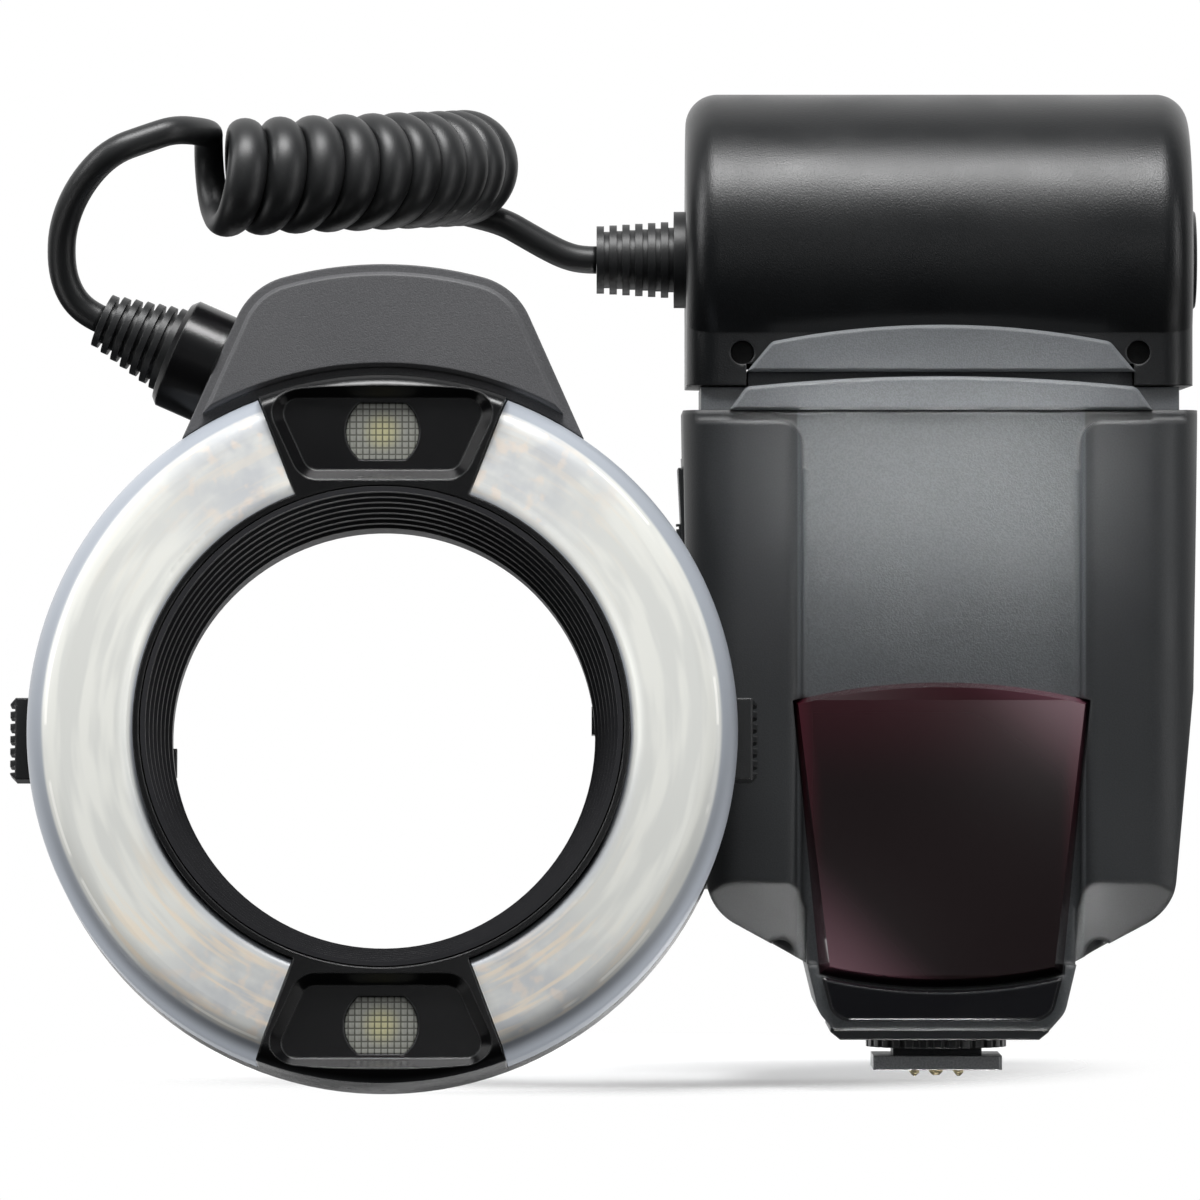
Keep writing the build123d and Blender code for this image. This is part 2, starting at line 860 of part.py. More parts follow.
pad_names = ["up_key", "left_key", "down_key", "right_key"]
for index, name in enumerate(pad_names):
    with BuildPart() as pad_key:
        extrude(pad_key_face(-90 * index, pad_radius), amount=-key_length)
        extrude(pad_key_face(-90 * index, pad_radius + key_lip), amount=key_lip_height)
        fillet(pad_key.faces().sort_by(Axis.Y)[-1].edges(), key_proud / 3)
    export(name, pad_key.part)

set_lip_back = key_lip_height + key_travel + seat_gap
with BuildPart() as set_key:
    with BuildSketch(key_back.offset(set_lip_back)):
        with Locations((0, pad_height)):
            Circle(set_key_radius)
    extrude(amount=-(set_lip_back + key_length))
    with BuildSketch(key_back.offset(set_lip_back)):
        with Locations((0, pad_height)):
            Circle(pad_inner_radius + key_lip)
    extrude(amount=key_lip)
    fillet(set_key.faces().sort_by(Axis.Y)[-1].edges(), key_proud / 2)
export("set_key", set_key.part)

with BuildPart() as power_switch:
    with BuildSketch(key_back):
        with Locations((switch_place - switch_travel / 2, switch_height)):
            Rectangle(switch_length + 2 * key_lip, switch_width + 2 * key_lip)
    extrude(amount=key_lip_height)
    with BuildSketch(key_back):
        with Locations((switch_place - switch_travel / 2, switch_height)):
            Rectangle(switch_length, switch_width)
    extrude(amount=-(wall + seat_gap + switch_proud))
    with BuildSketch(Plane.XZ.offset(-(body_back + switch_proud))):
        with Locations((switch_place - switch_travel / 2, switch_height)):
            with GridLocations(switch_length / 4, 0, 3, 1):
                Rectangle(switch_length / 8, switch_width)
    extrude(amount=switch_proud / 3, mode=Mode.SUBTRACT)
export("power_switch", power_switch.part)

# Battery door, its pin and latch
with BuildPart() as battery_door:
    add(door_slab(0, door_height))
    add(hinge_pin_body(shaft_gap), mode=Mode.SUBTRACT)
    with BuildSketch(door_plane.offset(latch_height - latch_travel - seat_gap)):
        with Locations((latch_front - latch_width / 2 - seat_gap, 0)):
            Rectangle(latch_width + 2 * seat_gap, 2 * latch_sink)
    extrude(amount=latch_length + latch_travel + 2 * seat_gap, mode=Mode.SUBTRACT)
export("battery_door", battery_door.part)

export("door_hinge_pin", hinge_pin_body(0))

with BuildPart() as door_latch:
    with BuildSketch(door_plane.offset(latch_height)):
        with Locations((latch_front - latch_width / 2 - seat_gap, seat_gap - latch_sink)):
            latch_depth = latch_sink + latch_proud - seat_gap
            Rectangle(latch_width, latch_depth, align=(Align.CENTER, Align.MIN))
    extrude(amount=latch_length)
    for index in range(latch_rib_count):
        groove = latch_height + latch_length * (index + 0.5) / latch_rib_count
        with BuildSketch(door_plane.offset(groove)):
            with Locations((latch_front - latch_width / 2 - seat_gap, latch_proud)):
                Rectangle(latch_width, latch_rib_cut, align=(Align.CENTER, Align.MAX))
        extrude(amount=latch_rib_cut, mode=Mode.SUBTRACT)
export("door_latch", door_latch.part)

# Battery chamber, cells and contact strips
cell_start = -chamber_mouth + seat_gap
cell_end = cell_start + cell_length
cell_heights = [cell_low + cell_radius + cell_pitch * index for index in range(cell_count)]
cell_middle = (cell_heights[0] + cell_heights[-1]) / 2
cell_stack = cell_heights[-1] - cell_heights[0] + 2 * cell_radius
chamber_end = cell_end + cell_nub_length + contact_strip_thickness + seat_gap
with BuildPart() as battery_cells:
    with BuildSketch(Plane.YZ.offset(cell_start)):
        with Locations(*[(cell_depth, height) for height in cell_heights]):
            Circle(cell_radius)
    extrude(amount=cell_length)
    with BuildSketch(Plane.YZ.offset(cell_end)):
        with Locations(*[(cell_depth, height) for height in cell_heights]):
            Circle(cell_nub_radius)
    extrude(amount=cell_nub_length)
export("battery_cells", battery_cells.part)

with BuildPart() as battery_contacts:
    with BuildSketch(Plane.YZ.offset(cell_end + cell_nub_length)):
        with Locations(*[(cell_depth, height) for height in cell_heights]):
            Rectangle(contact_strip_width, contact_strip_width)
    extrude(amount=contact_strip_thickness)
export("battery_contacts", battery_contacts.part)

with BuildPart() as battery_chamber:
    with BuildSketch(Plane.YZ.offset(-chamber_mouth)):
        with Locations((cell_depth, cell_low - chamber_gap - chamber_wall)):
            Rectangle(
                2 * (cell_radius + chamber_gap + chamber_wall),
                body_top - wall - (cell_low - chamber_gap - chamber_wall),
                align=(Align.CENTER, Align.MIN),
            )
    extrude(amount=chamber_end + chamber_mouth + chamber_wall)
    with BuildSketch(Plane.YZ.offset(-chamber_mouth)):
        with Locations((cell_depth, cell_middle)):
            Rectangle(2 * (cell_radius + chamber_gap), cell_stack + 2 * chamber_gap)
    extrude(amount=chamber_end + chamber_mouth, mode=Mode.SUBTRACT)
export("battery_chamber", battery_chamber.part)

# Terminal cover and the socket behind it
with BuildPart() as terminal_cover:
    add(cover_slab(0))
    rib_gap = cover_length / (cover_rib_count + 1)
    with BuildSketch(cover_plane.offset(cover_proud)):
        with Locations((0, -rib_gap / 2)):
            with GridLocations(0, rib_gap, 1, cover_rib_count):
                Rectangle(cover_width, rib_gap / 2)
    extrude(amount=-cover_rib_depth, mode=Mode.SUBTRACT)
    ends = terminal_cover.edges().filter_by(Axis.Y).sort_by(Axis.Z)[-2:]
    fillet(ends, cover_thickness / 2 - cover_rib_depth / 5)
export("terminal_cover", terminal_cover.part)

with BuildPart() as terminal_socket:
    add(socket_block(0))
    with BuildSketch(cover_plane.offset(cover_proud - cover_thickness)):
        Rectangle(socket_width - 2 * chamber_wall, socket_length - 2 * chamber_wall)
    extrude(amount=-socket_depth + chamber_wall, mode=Mode.SUBTRACT)
export("terminal_socket", terminal_socket.part)

# Neck collars
with BuildPart() as neck_lower_collar:
    lower = arch(
        FRONT.offset(-collar_back),
        lower_collar_width / 2,
        body_top,
        lower_collar_top_width / 2,
        lower_collar_shoulder,
        lower_collar_crown,
    )
    extrude(lower, amount=collar_back + lower_collar_front)
    fillet(neck_lower_collar.edges().filter_by(Axis.Y).group_by(Axis.Z)[-1], collar_corner)
    chamfer(neck_lower_collar.faces().sort_by(Axis.Y)[0].edges(), foot_edge)
    with BuildSketch(Plane.XY.offset(body_top)):
        Rectangle(neck_core_width, neck_core_depth)
    extrude(amount=upper_collar_low - body_top)
    with BuildSketch(Plane.XY.offset(body_top)):
        Rectangle(head_width - 2 * neck_shoulder_inset, neck_core_depth)
    extrude(amount=skirt_low - slide_gap - body_top)
export("neck_lower_collar", neck_lower_collar.part)

with BuildPart() as neck_upper_collar:
    upper = arch(
        FRONT.offset(-collar_back),
        upper_collar_width / 2,
        upper_collar_low,
        upper_collar_top_width / 2,
        upper_collar_shoulder,
        upper_collar_crown,
    )
    extrude(upper, amount=collar_back + upper_collar_front)
    with BuildSketch(Plane.XY.offset(head_floor)):
        with Locations((0, (collar_back - upper_collar_front) / 2)):
            Rectangle(body_width, collar_back + upper_collar_front - 2 * upper_collar_lip)
    extrude(amount=overrun * 2, mode=Mode.SUBTRACT)
    fillet(neck_upper_collar.edges().filter_by(Axis.Y).group_by(Axis.Z)[-1], collar_corner)
    chamfer(neck_upper_collar.faces().sort_by(Axis.Y)[0].edges(), foot_edge)
export("neck_upper_collar", neck_upper_collar.part)


def head_form(inset):
    """The housing: a lying round body with a straight skirt under its front and back."""
    with BuildPart() as form:
        with BuildSketch(Plane.YZ):
            with Locations((0, head_height)):
                Circle(head_radius - inset)
            with Locations((0, (skirt_low + skirt_top) / 2 + inset)):
                Rectangle(skirt_depth - 2 * inset, skirt_top - skirt_low)
            with Locations((0, skirt_low + inset)):
                Rectangle(body_width, body_top, align=(Align.CENTER, Align.MAX), mode=Mode.SUBTRACT)
        extrude(amount=head_width / 2 - inset, both=True)
        if inset == 0:
            ends = form.faces().filter_by(Axis.X)
            rounds = ends.edges().filter_by(lambda edge: edge.center().Z > skirt_low)
            fillet(rounds, head_end_radius)
    return form.part


def head_shell(keep):
    with BuildPart() as shell:
        add(head_form(0))
        with BuildPart(mode=Mode.PRIVATE) as room:
            add(head_form(wall))
            with BuildSketch(Plane.YZ.offset(saddle_place - saddle_width / 2)):
                with Locations((0, head_height)):
                    Rectangle(body_width, body_width)
                    Circle(capacitor_radius + seat_gap, mode=Mode.SUBTRACT)
            extrude(amount=saddle_width, mode=Mode.SUBTRACT)
            with BuildSketch(Plane.YZ.offset(-saddle_place - saddle_width / 2)):
                with Locations((0, head_height)):
                    Rectangle(body_width, body_width)
                    Circle(capacitor_radius + seat_gap, mode=Mode.SUBTRACT)
            extrude(amount=saddle_width, mode=Mode.SUBTRACT)
        add(room.part, mode=Mode.SUBTRACT)
        with BuildSketch(Plane.XY.offset(body_top)):
            Rectangle(upper_collar_width, body_width)
        extrude(amount=head_floor - body_top, mode=Mode.SUBTRACT)
        add(neck_upper_collar.part, mode=Mode.SUBTRACT)
        with BuildSketch(FRONT.offset(skirt_depth / 2 - head_screw_depth)):
            with Locations((-head_screw_place, head_screw_height), (head_screw_place, head_screw_height)):
                Circle(head_screw_radius)
        extrude(amount=overrun, mode=Mode.SUBTRACT)
        split(bisect_by=FRONT, keep=keep)
    return shell.part


export("head_front_shell", head_shell(Keep.TOP))
export("head_rear_shell", head_shell(Keep.BOTTOM))

with BuildPart() as housing_screws:
    with BuildSketch(FRONT.offset(skirt_depth / 2 - head_screw_depth)):
        with Locations((-head_screw_place, head_screw_height), (head_screw_place, head_screw_height)):
            Circle(head_screw_radius - shaft_gap)
    extrude(amount=screw_head_height)
    with BuildSketch(Plane.XY.offset(screw_seat)):
        with Locations((screw_place, -screw_front), (-screw_place, -screw_front)):
            Circle(screw_recess_radius - shaft_gap)
    extrude(amount=-screw_head_height)
export("housing_screws", housing_screws.part)

with BuildPart() as head_end_cap:
    with BuildSketch(Plane.YZ.offset(head_width / 2)):
        with Locations((0, head_height)):
            Circle(end_cap_radius)
    extrude(amount=end_cap_height)
    chamfer(head_end_cap.faces().sort_by(Axis.X)[-1].edges(), end_cap_edge)
export("head_end_cap", head_end_cap.part)

with BuildPart() as flash_capacitor:
    with BuildSketch(Plane.YZ.offset(-capacitor_length / 2)):
        with Locations((0, head_height)):
            Circle(capacitor_radius)
    extrude(amount=capacitor_length)
    fillet(flash_capacitor.faces().filter_by(Axis.X).edges(), end_cap_edge)
export("flash_capacitor", flash_capacitor.part)


def strain_relief(base, length, root, tip, flange, flange_thickness):
    """A tapered sleeve with ring grooves, turned about the base plane's normal."""
    section = Plane(origin=base.origin, x_dir=base.z_dir, z_dir=base.x_dir)
    pitch = (length - flange_thickness) / relief_rib_count
    points = [(0, 0), (0, flange), (flange_thickness, flange)]
    for index in range(relief_rib_count):
        start = flange_thickness + pitch * index
        land = start + pitch * relief_groove_share
        radius = root + (tip - root) * index / (relief_rib_count - 1)
        points.append((start, radius - relief_groove_depth))
        points.append((land, radius - relief_groove_depth))
        points.append((land, radius))
        points.append((start + pitch, radius))
    points.append((length, 0))
    with BuildPart() as relief:
        revolve(closed_outline(section, points), axis=Axis(base.origin, base.z_dir))
    return relief.part


control_base = Plane(origin=(-head_width / 2, 0, head_height), x_dir=(0, 1, 0), z_dir=(-1, 0, 0))
control_relief = strain_relief(
    control_base,
    control_relief_length + flange_length,
    control_relief_root,
    control_relief_tip,
    flange_radius,
    flange_length,
)
export("control_strain_relief", control_relief)

# Ring light, built on its own plane, which leans back
lean = math.radians(ring_lean)
ring_plane = Plane(
    origin=(ring_x, ring_y, ring_z),
    x_dir=(1, 0, 0),
    z_dir=(0, -math.cos(lean), math.sin(lean)),
)
ring_axis = Axis(ring_plane.origin, ring_plane.z_dir)
diffuser_back = plate_back + plate_thickness


def ring_section(angle):
    """A plane through the ring's axis: x runs outward at the angle, y runs to the front."""
    turned = math.radians(angle)
    outward = ring_plane.x_dir * math.cos(turned) + ring_plane.y_dir * math.sin(turned)
    return Plane(origin=ring_plane.origin, x_dir=outward, z_dir=outward.cross(ring_plane.z_dir))


def turned_piece(points, radii=0, start=0, span=360):
    """An outline of (radius, height) points turned about the ring's axis."""
    with BuildPart() as piece:
        revolve(
            closed_outline(ring_section(start), points, radii),
            axis=ring_axis,
            revolution_arc=span,
        )
    return piece.part


def led_face(height, margin, side):
    """A round window with a flat top and foot."""
    with BuildSketch(ring_plane.offset(height)) as face:
        with Locations((0, side * led_place)):
            Circle(led_width / 2 + margin)
            Rectangle(led_width + 2 * margin, led_height + 2 * margin, mode=Mode.INTERSECT)
    return face.sketch


# Liner: the bore and the stepped cone that flares to the front
liner_points = [
    (liner_outer_radius, 0),
    (liner_outer_radius, liner_flare_start),
    (liner_flare_radius - seat_gap, diffuser_front),
    (liner_rim_radius, diffuser_front),
]
step_height = (diffuser_front - bore_length) / liner_step_count
step_width = (liner_rim_radius - bore_radius) / liner_step_count
for index in range(liner_step_count, 1, -1):
    height = bore_length + step_height * (index - 1)
    liner_points.append((bore_radius + step_width * index, height))
    liner_points.append((bore_radius + step_width * (index - 1), height))
liner_points += [
    (bore_radius + step_width, bore_length),
    (bore_radius, bore_length),
    (bore_radius, bore_mouth_length),
    (bore_mouth_radius, bore_mouth_length),
    (bore_mouth_radius, 0),
]
claw_window_low = rear_floor + seat_gap
claw_window_high = button_back + slider_thickness + slide_gap


def claw_windows():
    with BuildPart() as windows:
        with BuildSketch(ring_plane.offset(claw_window_low)):
            Rectangle(2 * ring_post_place, 2 * (slider_arm_high + slide_gap))
        extrude(amount=claw_window_high - claw_window_low)
    return windows.part


with BuildPart() as ring_liner:
    add(turned_piece(liner_points))
    add(claw_windows(), mode=Mode.SUBTRACT)
export("ring_liner", ring_liner.part)

# Rear housing: a pan with screw posts and windows for buttons and claws
housing_inner = liner_outer_radius + seat_gap
rear_points = [
    (housing_inner, 0),
    (ring_radius, 0),
    (ring_radius, plate_back),
    (ring_radius - rear_wall, plate_back),
    (ring_radius - rear_wall, rear_floor),
    (housing_inner + rear_inner_wall, rear_floor),
    (housing_inner + rear_inner_wall, plate_back),
    (housing_inner, plate_back),
]
rear_radii = [0, rear_edge, 0, 0, rear_floor / 2, 0, 0, 0]
post_turn = 45
with BuildPart() as ring_rear_housing:
    add(turned_piece(rear_points, rear_radii))
    with BuildSketch(ring_plane.offset(rear_floor / 2)):
        with PolarLocations(ring_post_place, 4, start_angle=post_turn):
            Circle(ring_post_radius)
        Circle(housing_inner + seat_gap, mode=Mode.SUBTRACT)
    extrude(amount=plate_back - rear_floor / 2)
    with BuildSketch(ring_plane):
        with PolarLocations(ring_post_place, 4, start_angle=post_turn):
            Circle(ring_screw_radius + shaft_gap)
    extrude(amount=plate_back, mode=Mode.SUBTRACT)
    with BuildSketch(ring_plane):
        with PolarLocations(ring_post_place, 4, start_angle=post_turn):
            Circle(ring_screw_head + shaft_gap)
    extrude(amount=ring_screw_sink, mode=Mode.SUBTRACT)
    add(claw_windows(), mode=Mode.SUBTRACT)
    with BuildSketch(ring_plane.offset(button_back - slide_gap)):
        with GridLocations(2 * ring_radius, 0, 2, 1):
            Rectangle(2 * (ring_radius - slider_outer), button_width + 2 * slide_gap)
    extrude(amount=button_front - button_back + 2 * slide_gap, mode=Mode.SUBTRACT)
export("ring_rear_housing", ring_rear_housing.part)

with BuildPart() as ring_screws:
    with BuildSketch(ring_plane):
        with PolarLocations(ring_post_place, 4, start_angle=post_turn):
            Circle(ring_screw_radius)
    extrude(amount=diffuser_back - seat_gap)
    with BuildSketch(ring_plane):
        with PolarLocations(ring_post_place, 4, start_angle=post_turn):
            Circle(ring_screw_head)
    extrude(amount=ring_screw_sink)
export("ring_screws", ring_screws.part)


# Release buttons: each carries half a ring that ends in a claw on the far side
def release_slider(turn):
    base = Plane(ring_plane.origin, x_dir=ring_plane.x_dir * turn, z_dir=ring_plane.z_dir)
    with BuildPart() as slider:
        with BuildSketch(base.offset(button_back)):
            with Locations((-button_out, 0)):
                Rectangle(button_out - button_in, button_width, align=(Align.MIN, Align.CENTER))
        extrude(amount=button_front - button_back)
        outer = slider.faces().sort_by(Axis(base.origin, base.x_dir))[0]
        chamfer(outer.edges(), button_edge)
        with BuildSketch(base.offset(button_back)):
            with Locations((-button_out, 0)):
                with GridLocations(0, button_tooth_pitch, 1, button_tooth_count):
                    Rectangle(2 * button_tooth_depth, button_tooth_pitch / 2)
        extrude(amount=button_front - button_back, mode=Mode.SUBTRACT)
        with BuildSketch(base.offset(button_back)):
            Circle(slider_outer)
            Circle(slider_inner, mode=Mode.SUBTRACT)
            with Locations((0, slider_arm_low)):
                Rectangle(2 * slider_outer, slider_outer, align=(Align.CENTER, Align.MIN), mode=Mode.INTERSECT)
            with Locations((-button_in, slider_arm_low)):
                Rectangle(
                    button_in - slider_inner,
                    slider_arm_high - slider_arm_low,
                    align=(Align.MIN, Align.MIN),
                )
            with Locations((claw_reach, slider_arm_low)):
                Rectangle(
                    slider_inner + seat_gap - claw_reach,
                    slider_arm_high - slider_arm_low,
                    align=(Align.MIN, Align.MIN),
                )
        extrude(amount=slider_thickness)
    return slider.part


export("release_button_left", release_slider(1))
export("release_button_right", release_slider(-1))

with BuildPart() as ring_circuit_board:
    with BuildSketch(ring_plane.offset(plate_back - board_ring_thickness)):
        Circle(board_ring_outer)
        Circle(board_ring_inner, mode=Mode.SUBTRACT)
    extrude(amount=board_ring_thickness)
export("ring_circuit_board", ring_circuit_board.part)

# Front frame: a ring plate, an inner rim and the two black segments
with BuildPart() as ring_front_frame:
    plate_points = [
        (housing_inner, plate_back),
        (ring_radius, plate_back),
        (ring_radius, diffuser_back),
        (housing_inner, diffuser_back),
    ]
    add(turned_piece(plate_points))
    rim_points = [
        (rim_radius - rim_wall, diffuser_back - seat_gap),
        (rim_radius, diffuser_back - seat_gap),
        (rim_radius, diffuser_front),
        (rim_radius - rim_wall, diffuser_front),
    ]
    add(turned_piece(rim_points))
    segment_points = [
        (rim_radius - rim_wall / 2, diffuser_back - seat_gap),
        (ring_radius, diffuser_back - seat_gap),
        (ring_radius, diffuser_front),
        (rim_radius - rim_wall / 2, diffuser_front),
    ]
    for side in (1, -1):
        start = 90 * side - segment_span / 2
        add(turned_piece(segment_points, [0, 0, segment_edge, 0], start, segment_span))
        recess = [
            (-recess_foot_width / 2, side * recess_foot),
            (-recess_head_width / 2, side * recess_head),
            (recess_head_width / 2, side * recess_head),
            (recess_foot_width / 2, side * recess_foot),
        ]
        recess_floor = ring_plane.offset(diffuser_front - recess_depth)
        extrude(
            closed_outline(recess_floor, recess, [recess_depth] * 4),
            amount=recess_depth + seat_gap,
            taper=-recess_draft,
            mode=Mode.SUBTRACT,
        )
        ledge = diffuser_front - recess_depth - led_window_set - led_window_thickness
        extrude(led_face(ledge, 0, side), amount=overrun, mode=Mode.SUBTRACT)
        extrude(led_face(diffuser_back, -led_ledge, side), amount=overrun * 2, mode=Mode.SUBTRACT)
    with BuildSketch(ring_plane.offset(plate_back)):
        with PolarLocations(ring_post_place, 4, start_angle=post_turn):
            Circle(ring_screw_radius + shaft_gap)
    extrude(amount=plate_thickness, mode=Mode.SUBTRACT)
export("ring_front_frame", ring_front_frame.part)

with BuildPart() as led_windows:
    for side in (1, -1):
        extrude(led_face(ledge, 0, side), amount=led_window_thickness)
    fronts = led_windows.faces().group_by(Axis((0, 0, 0), ring_plane.z_dir))[-1]
    chamfer(fronts.edges(), led_window_set / 2)
export("led_windows", led_windows.part)

with BuildPart() as led_lamps:
    with BuildSketch(ring_plane.offset(diffuser_back)):
        with GridLocations(0, 2 * led_place, 1, 2):
            Rectangle(led_chip_width, led_chip_width)
    extrude(amount=led_chip_height)
export("led_lamps", led_lamps.part)

# Diffusers, reflectors and flash tubes, one of each on the right and on the left
diffuser_points = [
    (rim_radius + seat_gap, diffuser_back),
    (ring_radius, diffuser_back),
    (ring_radius, diffuser_outer_front),
    (rim_radius + seat_gap, diffuser_front),
]
diffuser_radii = [0, 0, diffuser_outer_edge, diffuser_inner_edge]
diffuser_room = [
    (rim_radius + seat_gap + diffuser_wall, diffuser_back - overrun),
    (ring_radius - diffuser_wall, diffuser_back - overrun),
    (ring_radius - diffuser_wall, diffuser_outer_front - diffuser_wall),
    (rim_radius + seat_gap + diffuser_wall, diffuser_front - diffuser_wall),
]
room_radii = [0, 0, diffuser_outer_edge - diffuser_wall, diffuser_wall / 2]
for middle, place in ((0, "right"), (180, "left")):
    with BuildPart() as diffuser:
        add(turned_piece(diffuser_points, diffuser_radii, middle - diffuser_span / 2, diffuser_span))
        room_span = diffuser_span - 2 * diffuser_end_span
        room = turned_piece(diffuser_room, room_radii, middle - room_span / 2, room_span)
        add(room, mode=Mode.SUBTRACT)
    export(f"diffuser_{place}", diffuser.part)

    with BuildPart() as flash_tube:
        with BuildSketch(ring_section(middle - tube_span / 2)):
            with Locations((tube_place, tube_front)):
                Circle(tube_radius)
        revolve(axis=ring_axis, revolution_arc=tube_span)
        with BuildSketch(ring_plane.offset(diffuser_back)):
            first_leg = middle - tube_span / 2
            with PolarLocations(tube_place, 2, start_angle=first_leg, angular_range=2 * tube_span):
                Circle(tube_leg_radius)
        extrude(amount=tube_front - diffuser_back)
    export(f"flash_tube_{place}", flash_tube.part)


with BuildPart() as reflectors:
    low = diffuser_back + seat_gap
    for middle in (0, 180):
        with BuildSketch(ring_section(middle - reflector_span / 2)):
            with BuildLine():
                ThreePointArc(
                    (reflector_inner, reflector_lip), (tube_place, low), (reflector_outer, reflector_lip)
                )
                Line((reflector_outer, reflector_lip), (reflector_outer - reflector_sheet, reflector_lip))
                ThreePointArc(
                    (reflector_outer - reflector_sheet, reflector_lip),
                    (tube_place, low + reflector_sheet),
                    (reflector_inner + reflector_sheet, reflector_lip),
                )
                Line((reflector_inner + reflector_sheet, reflector_lip), (reflector_inner, reflector_lip))
            make_face()
        revolve(axis=ring_axis, revolution_arc=reflector_span)
export("reflectors", reflectors.part)

# Top housing of the ring with its face, transformer, boss and strain relief
def hump_face(height, inset):
    """A leaning-sided arch that stands on the ring's round outside."""
    foot_radius = ring_radius + seat_gap
    foot = math.sqrt(foot_radius**2 - hump_base_half**2)
    with BuildSketch(ring_plane.offset(height)) as face:
        with BuildLine():
            left_shoulder = (-hump_shoulder_half, hump_shoulder)
            right_shoulder = (hump_shoulder_half, hump_shoulder)
            ThreePointArc(left_shoulder, (0, hump_crown), right_shoulder)
            Line(right_shoulder, (hump_base_half, foot))
            ThreePointArc((hump_base_half, foot), (0, foot_radius), (-hump_base_half, foot))
            Line((-hump_base_half, foot), left_shoulder)
        make_face()
        fillet(face.vertices().sort_by(Axis.Y)[-2:], hump_corner)
        if inset > 0:
            offset(amount=-inset, kind=Kind.INTERSECTION, mode=Mode.REPLACE)
    return face.sketch


with BuildPart() as ring_top_housing:
    extrude(hump_face(hump_back, 0), amount=hump_split - hump_back)
    extrude(hump_face(hump_back + hump_wall, hump_wall), amount=hump_split, mode=Mode.SUBTRACT)
export("ring_top_housing", ring_top_housing.part)

with BuildPart() as ring_top_face:
    extrude(hump_face(hump_split, 0), amount=(hump_front - hump_split) / 2)
    extrude(hump_face(hump_split, hump_inset), amount=hump_front - hump_split)
    front = ring_top_face.faces().sort_by(Axis((0, 0, 0), ring_plane.z_dir))[-1]
    chamfer(front.edges(), hump_face_edge / 2)
export("ring_top_face", ring_top_face.part)

with BuildPart() as trigger_transformer:
    with BuildSketch(ring_plane.offset(hump_back + hump_wall)):
        with Locations((0, (hump_crown + ring_radius) / 2)):
            Rectangle(transformer_width, transformer_height)
    extrude(amount=transformer_depth)
export("trigger_transformer", trigger_transformer.part)

base_foot = math.sqrt((ring_radius + seat_gap) ** 2 - hump_base_half**2)
wall_run = hump_base_half - hump_shoulder_half
wall_rise = hump_shoulder - base_foot
wall_turn = math.atan2(wall_run, wall_rise)
outward = ring_plane.x_dir * -math.cos(wall_turn) + ring_plane.y_dir * math.sin(wall_turn)
wall_middle = ring_plane.from_local_coords(
    (-(hump_base_half + hump_shoulder_half) / 2, (hump_shoulder + base_foot) / 2, boss_front)
)
boss_plane = Plane(origin=wall_middle, x_dir=ring_plane.z_dir, z_dir=outward)
with BuildPart() as ring_gland_boss:
    with BuildSketch(boss_plane):
        Circle(boss_radius)
    extrude(amount=boss_length)
    chamfer(ring_gland_boss.faces().sort_by(Axis(wall_middle, outward))[-1].edges(), boss_edge)
export("ring_gland_boss", ring_gland_boss.part)

relief_base = boss_plane.offset(boss_length)
ring_relief = strain_relief(
    relief_base,
    ring_relief_length + boss_step_length,
    ring_relief_root,
    ring_relief_tip,
    boss_step_radius,
    boss_step_length,
)
export("ring_strain_relief", ring_relief)

# Curly cord
ring_exit = relief_base.offset(ring_relief_length + boss_step_length).origin
control_exit = control_base.offset(control_relief_length + flange_length).origin


def coil_axis(turns):
    """Centre and heading of the coil: its axis swings round as it goes to the back."""
    swing = math.radians(coil_yaw_end - coil_yaw_start)
    bend = coil_pitch * coil_turns / swing
    yaw = math.radians(coil_yaw_start) + swing * turns / coil_turns
    first = math.radians(coil_yaw_start)
    centre = Vector(
        coil_start[0] + bend * (math.sin(yaw) - math.sin(first)),
        coil_start[1] + bend * (math.cos(first) - math.cos(yaw)),
        coil_start[2] + coil_rise * turns / coil_turns,
    )
    return centre, yaw


def coil_point(turns):
    """A point of the helix: over the top, down the back, forward below and up the front."""
    centre, yaw = coil_axis(turns)
    back = Vector(-math.sin(yaw), math.cos(yaw), 0)
    angle = 2 * math.pi * turns
    radius = (coil_outer_diameter - cord_diameter) / 2
    return centre + back * (radius * math.sin(angle)) + Vector(0, 0, radius * math.cos(angle))


def coil_heading(turns):
    ahead = coil_point(turns + heading_step_share)
    return (ahead - coil_point(turns - heading_step_share)).normalized()


def add_biarc(start, start_heading, end, end_heading):
    """Two arcs that meet tangentially between two points with given headings."""
    chord = end - start
    both = start_heading + end_heading
    square = 2 * (1 - start_heading.dot(end_heading))
    along = chord.dot(both)
    reach = (-along + math.sqrt(along**2 + square * chord.dot(chord))) / square
    first = start + start_heading * reach
    last = end - end_heading * reach
    joint = (first + last) * 0.5
    TangentArc(start, joint, tangent=start_heading)
    TangentArc(joint, end, tangent=last - first)


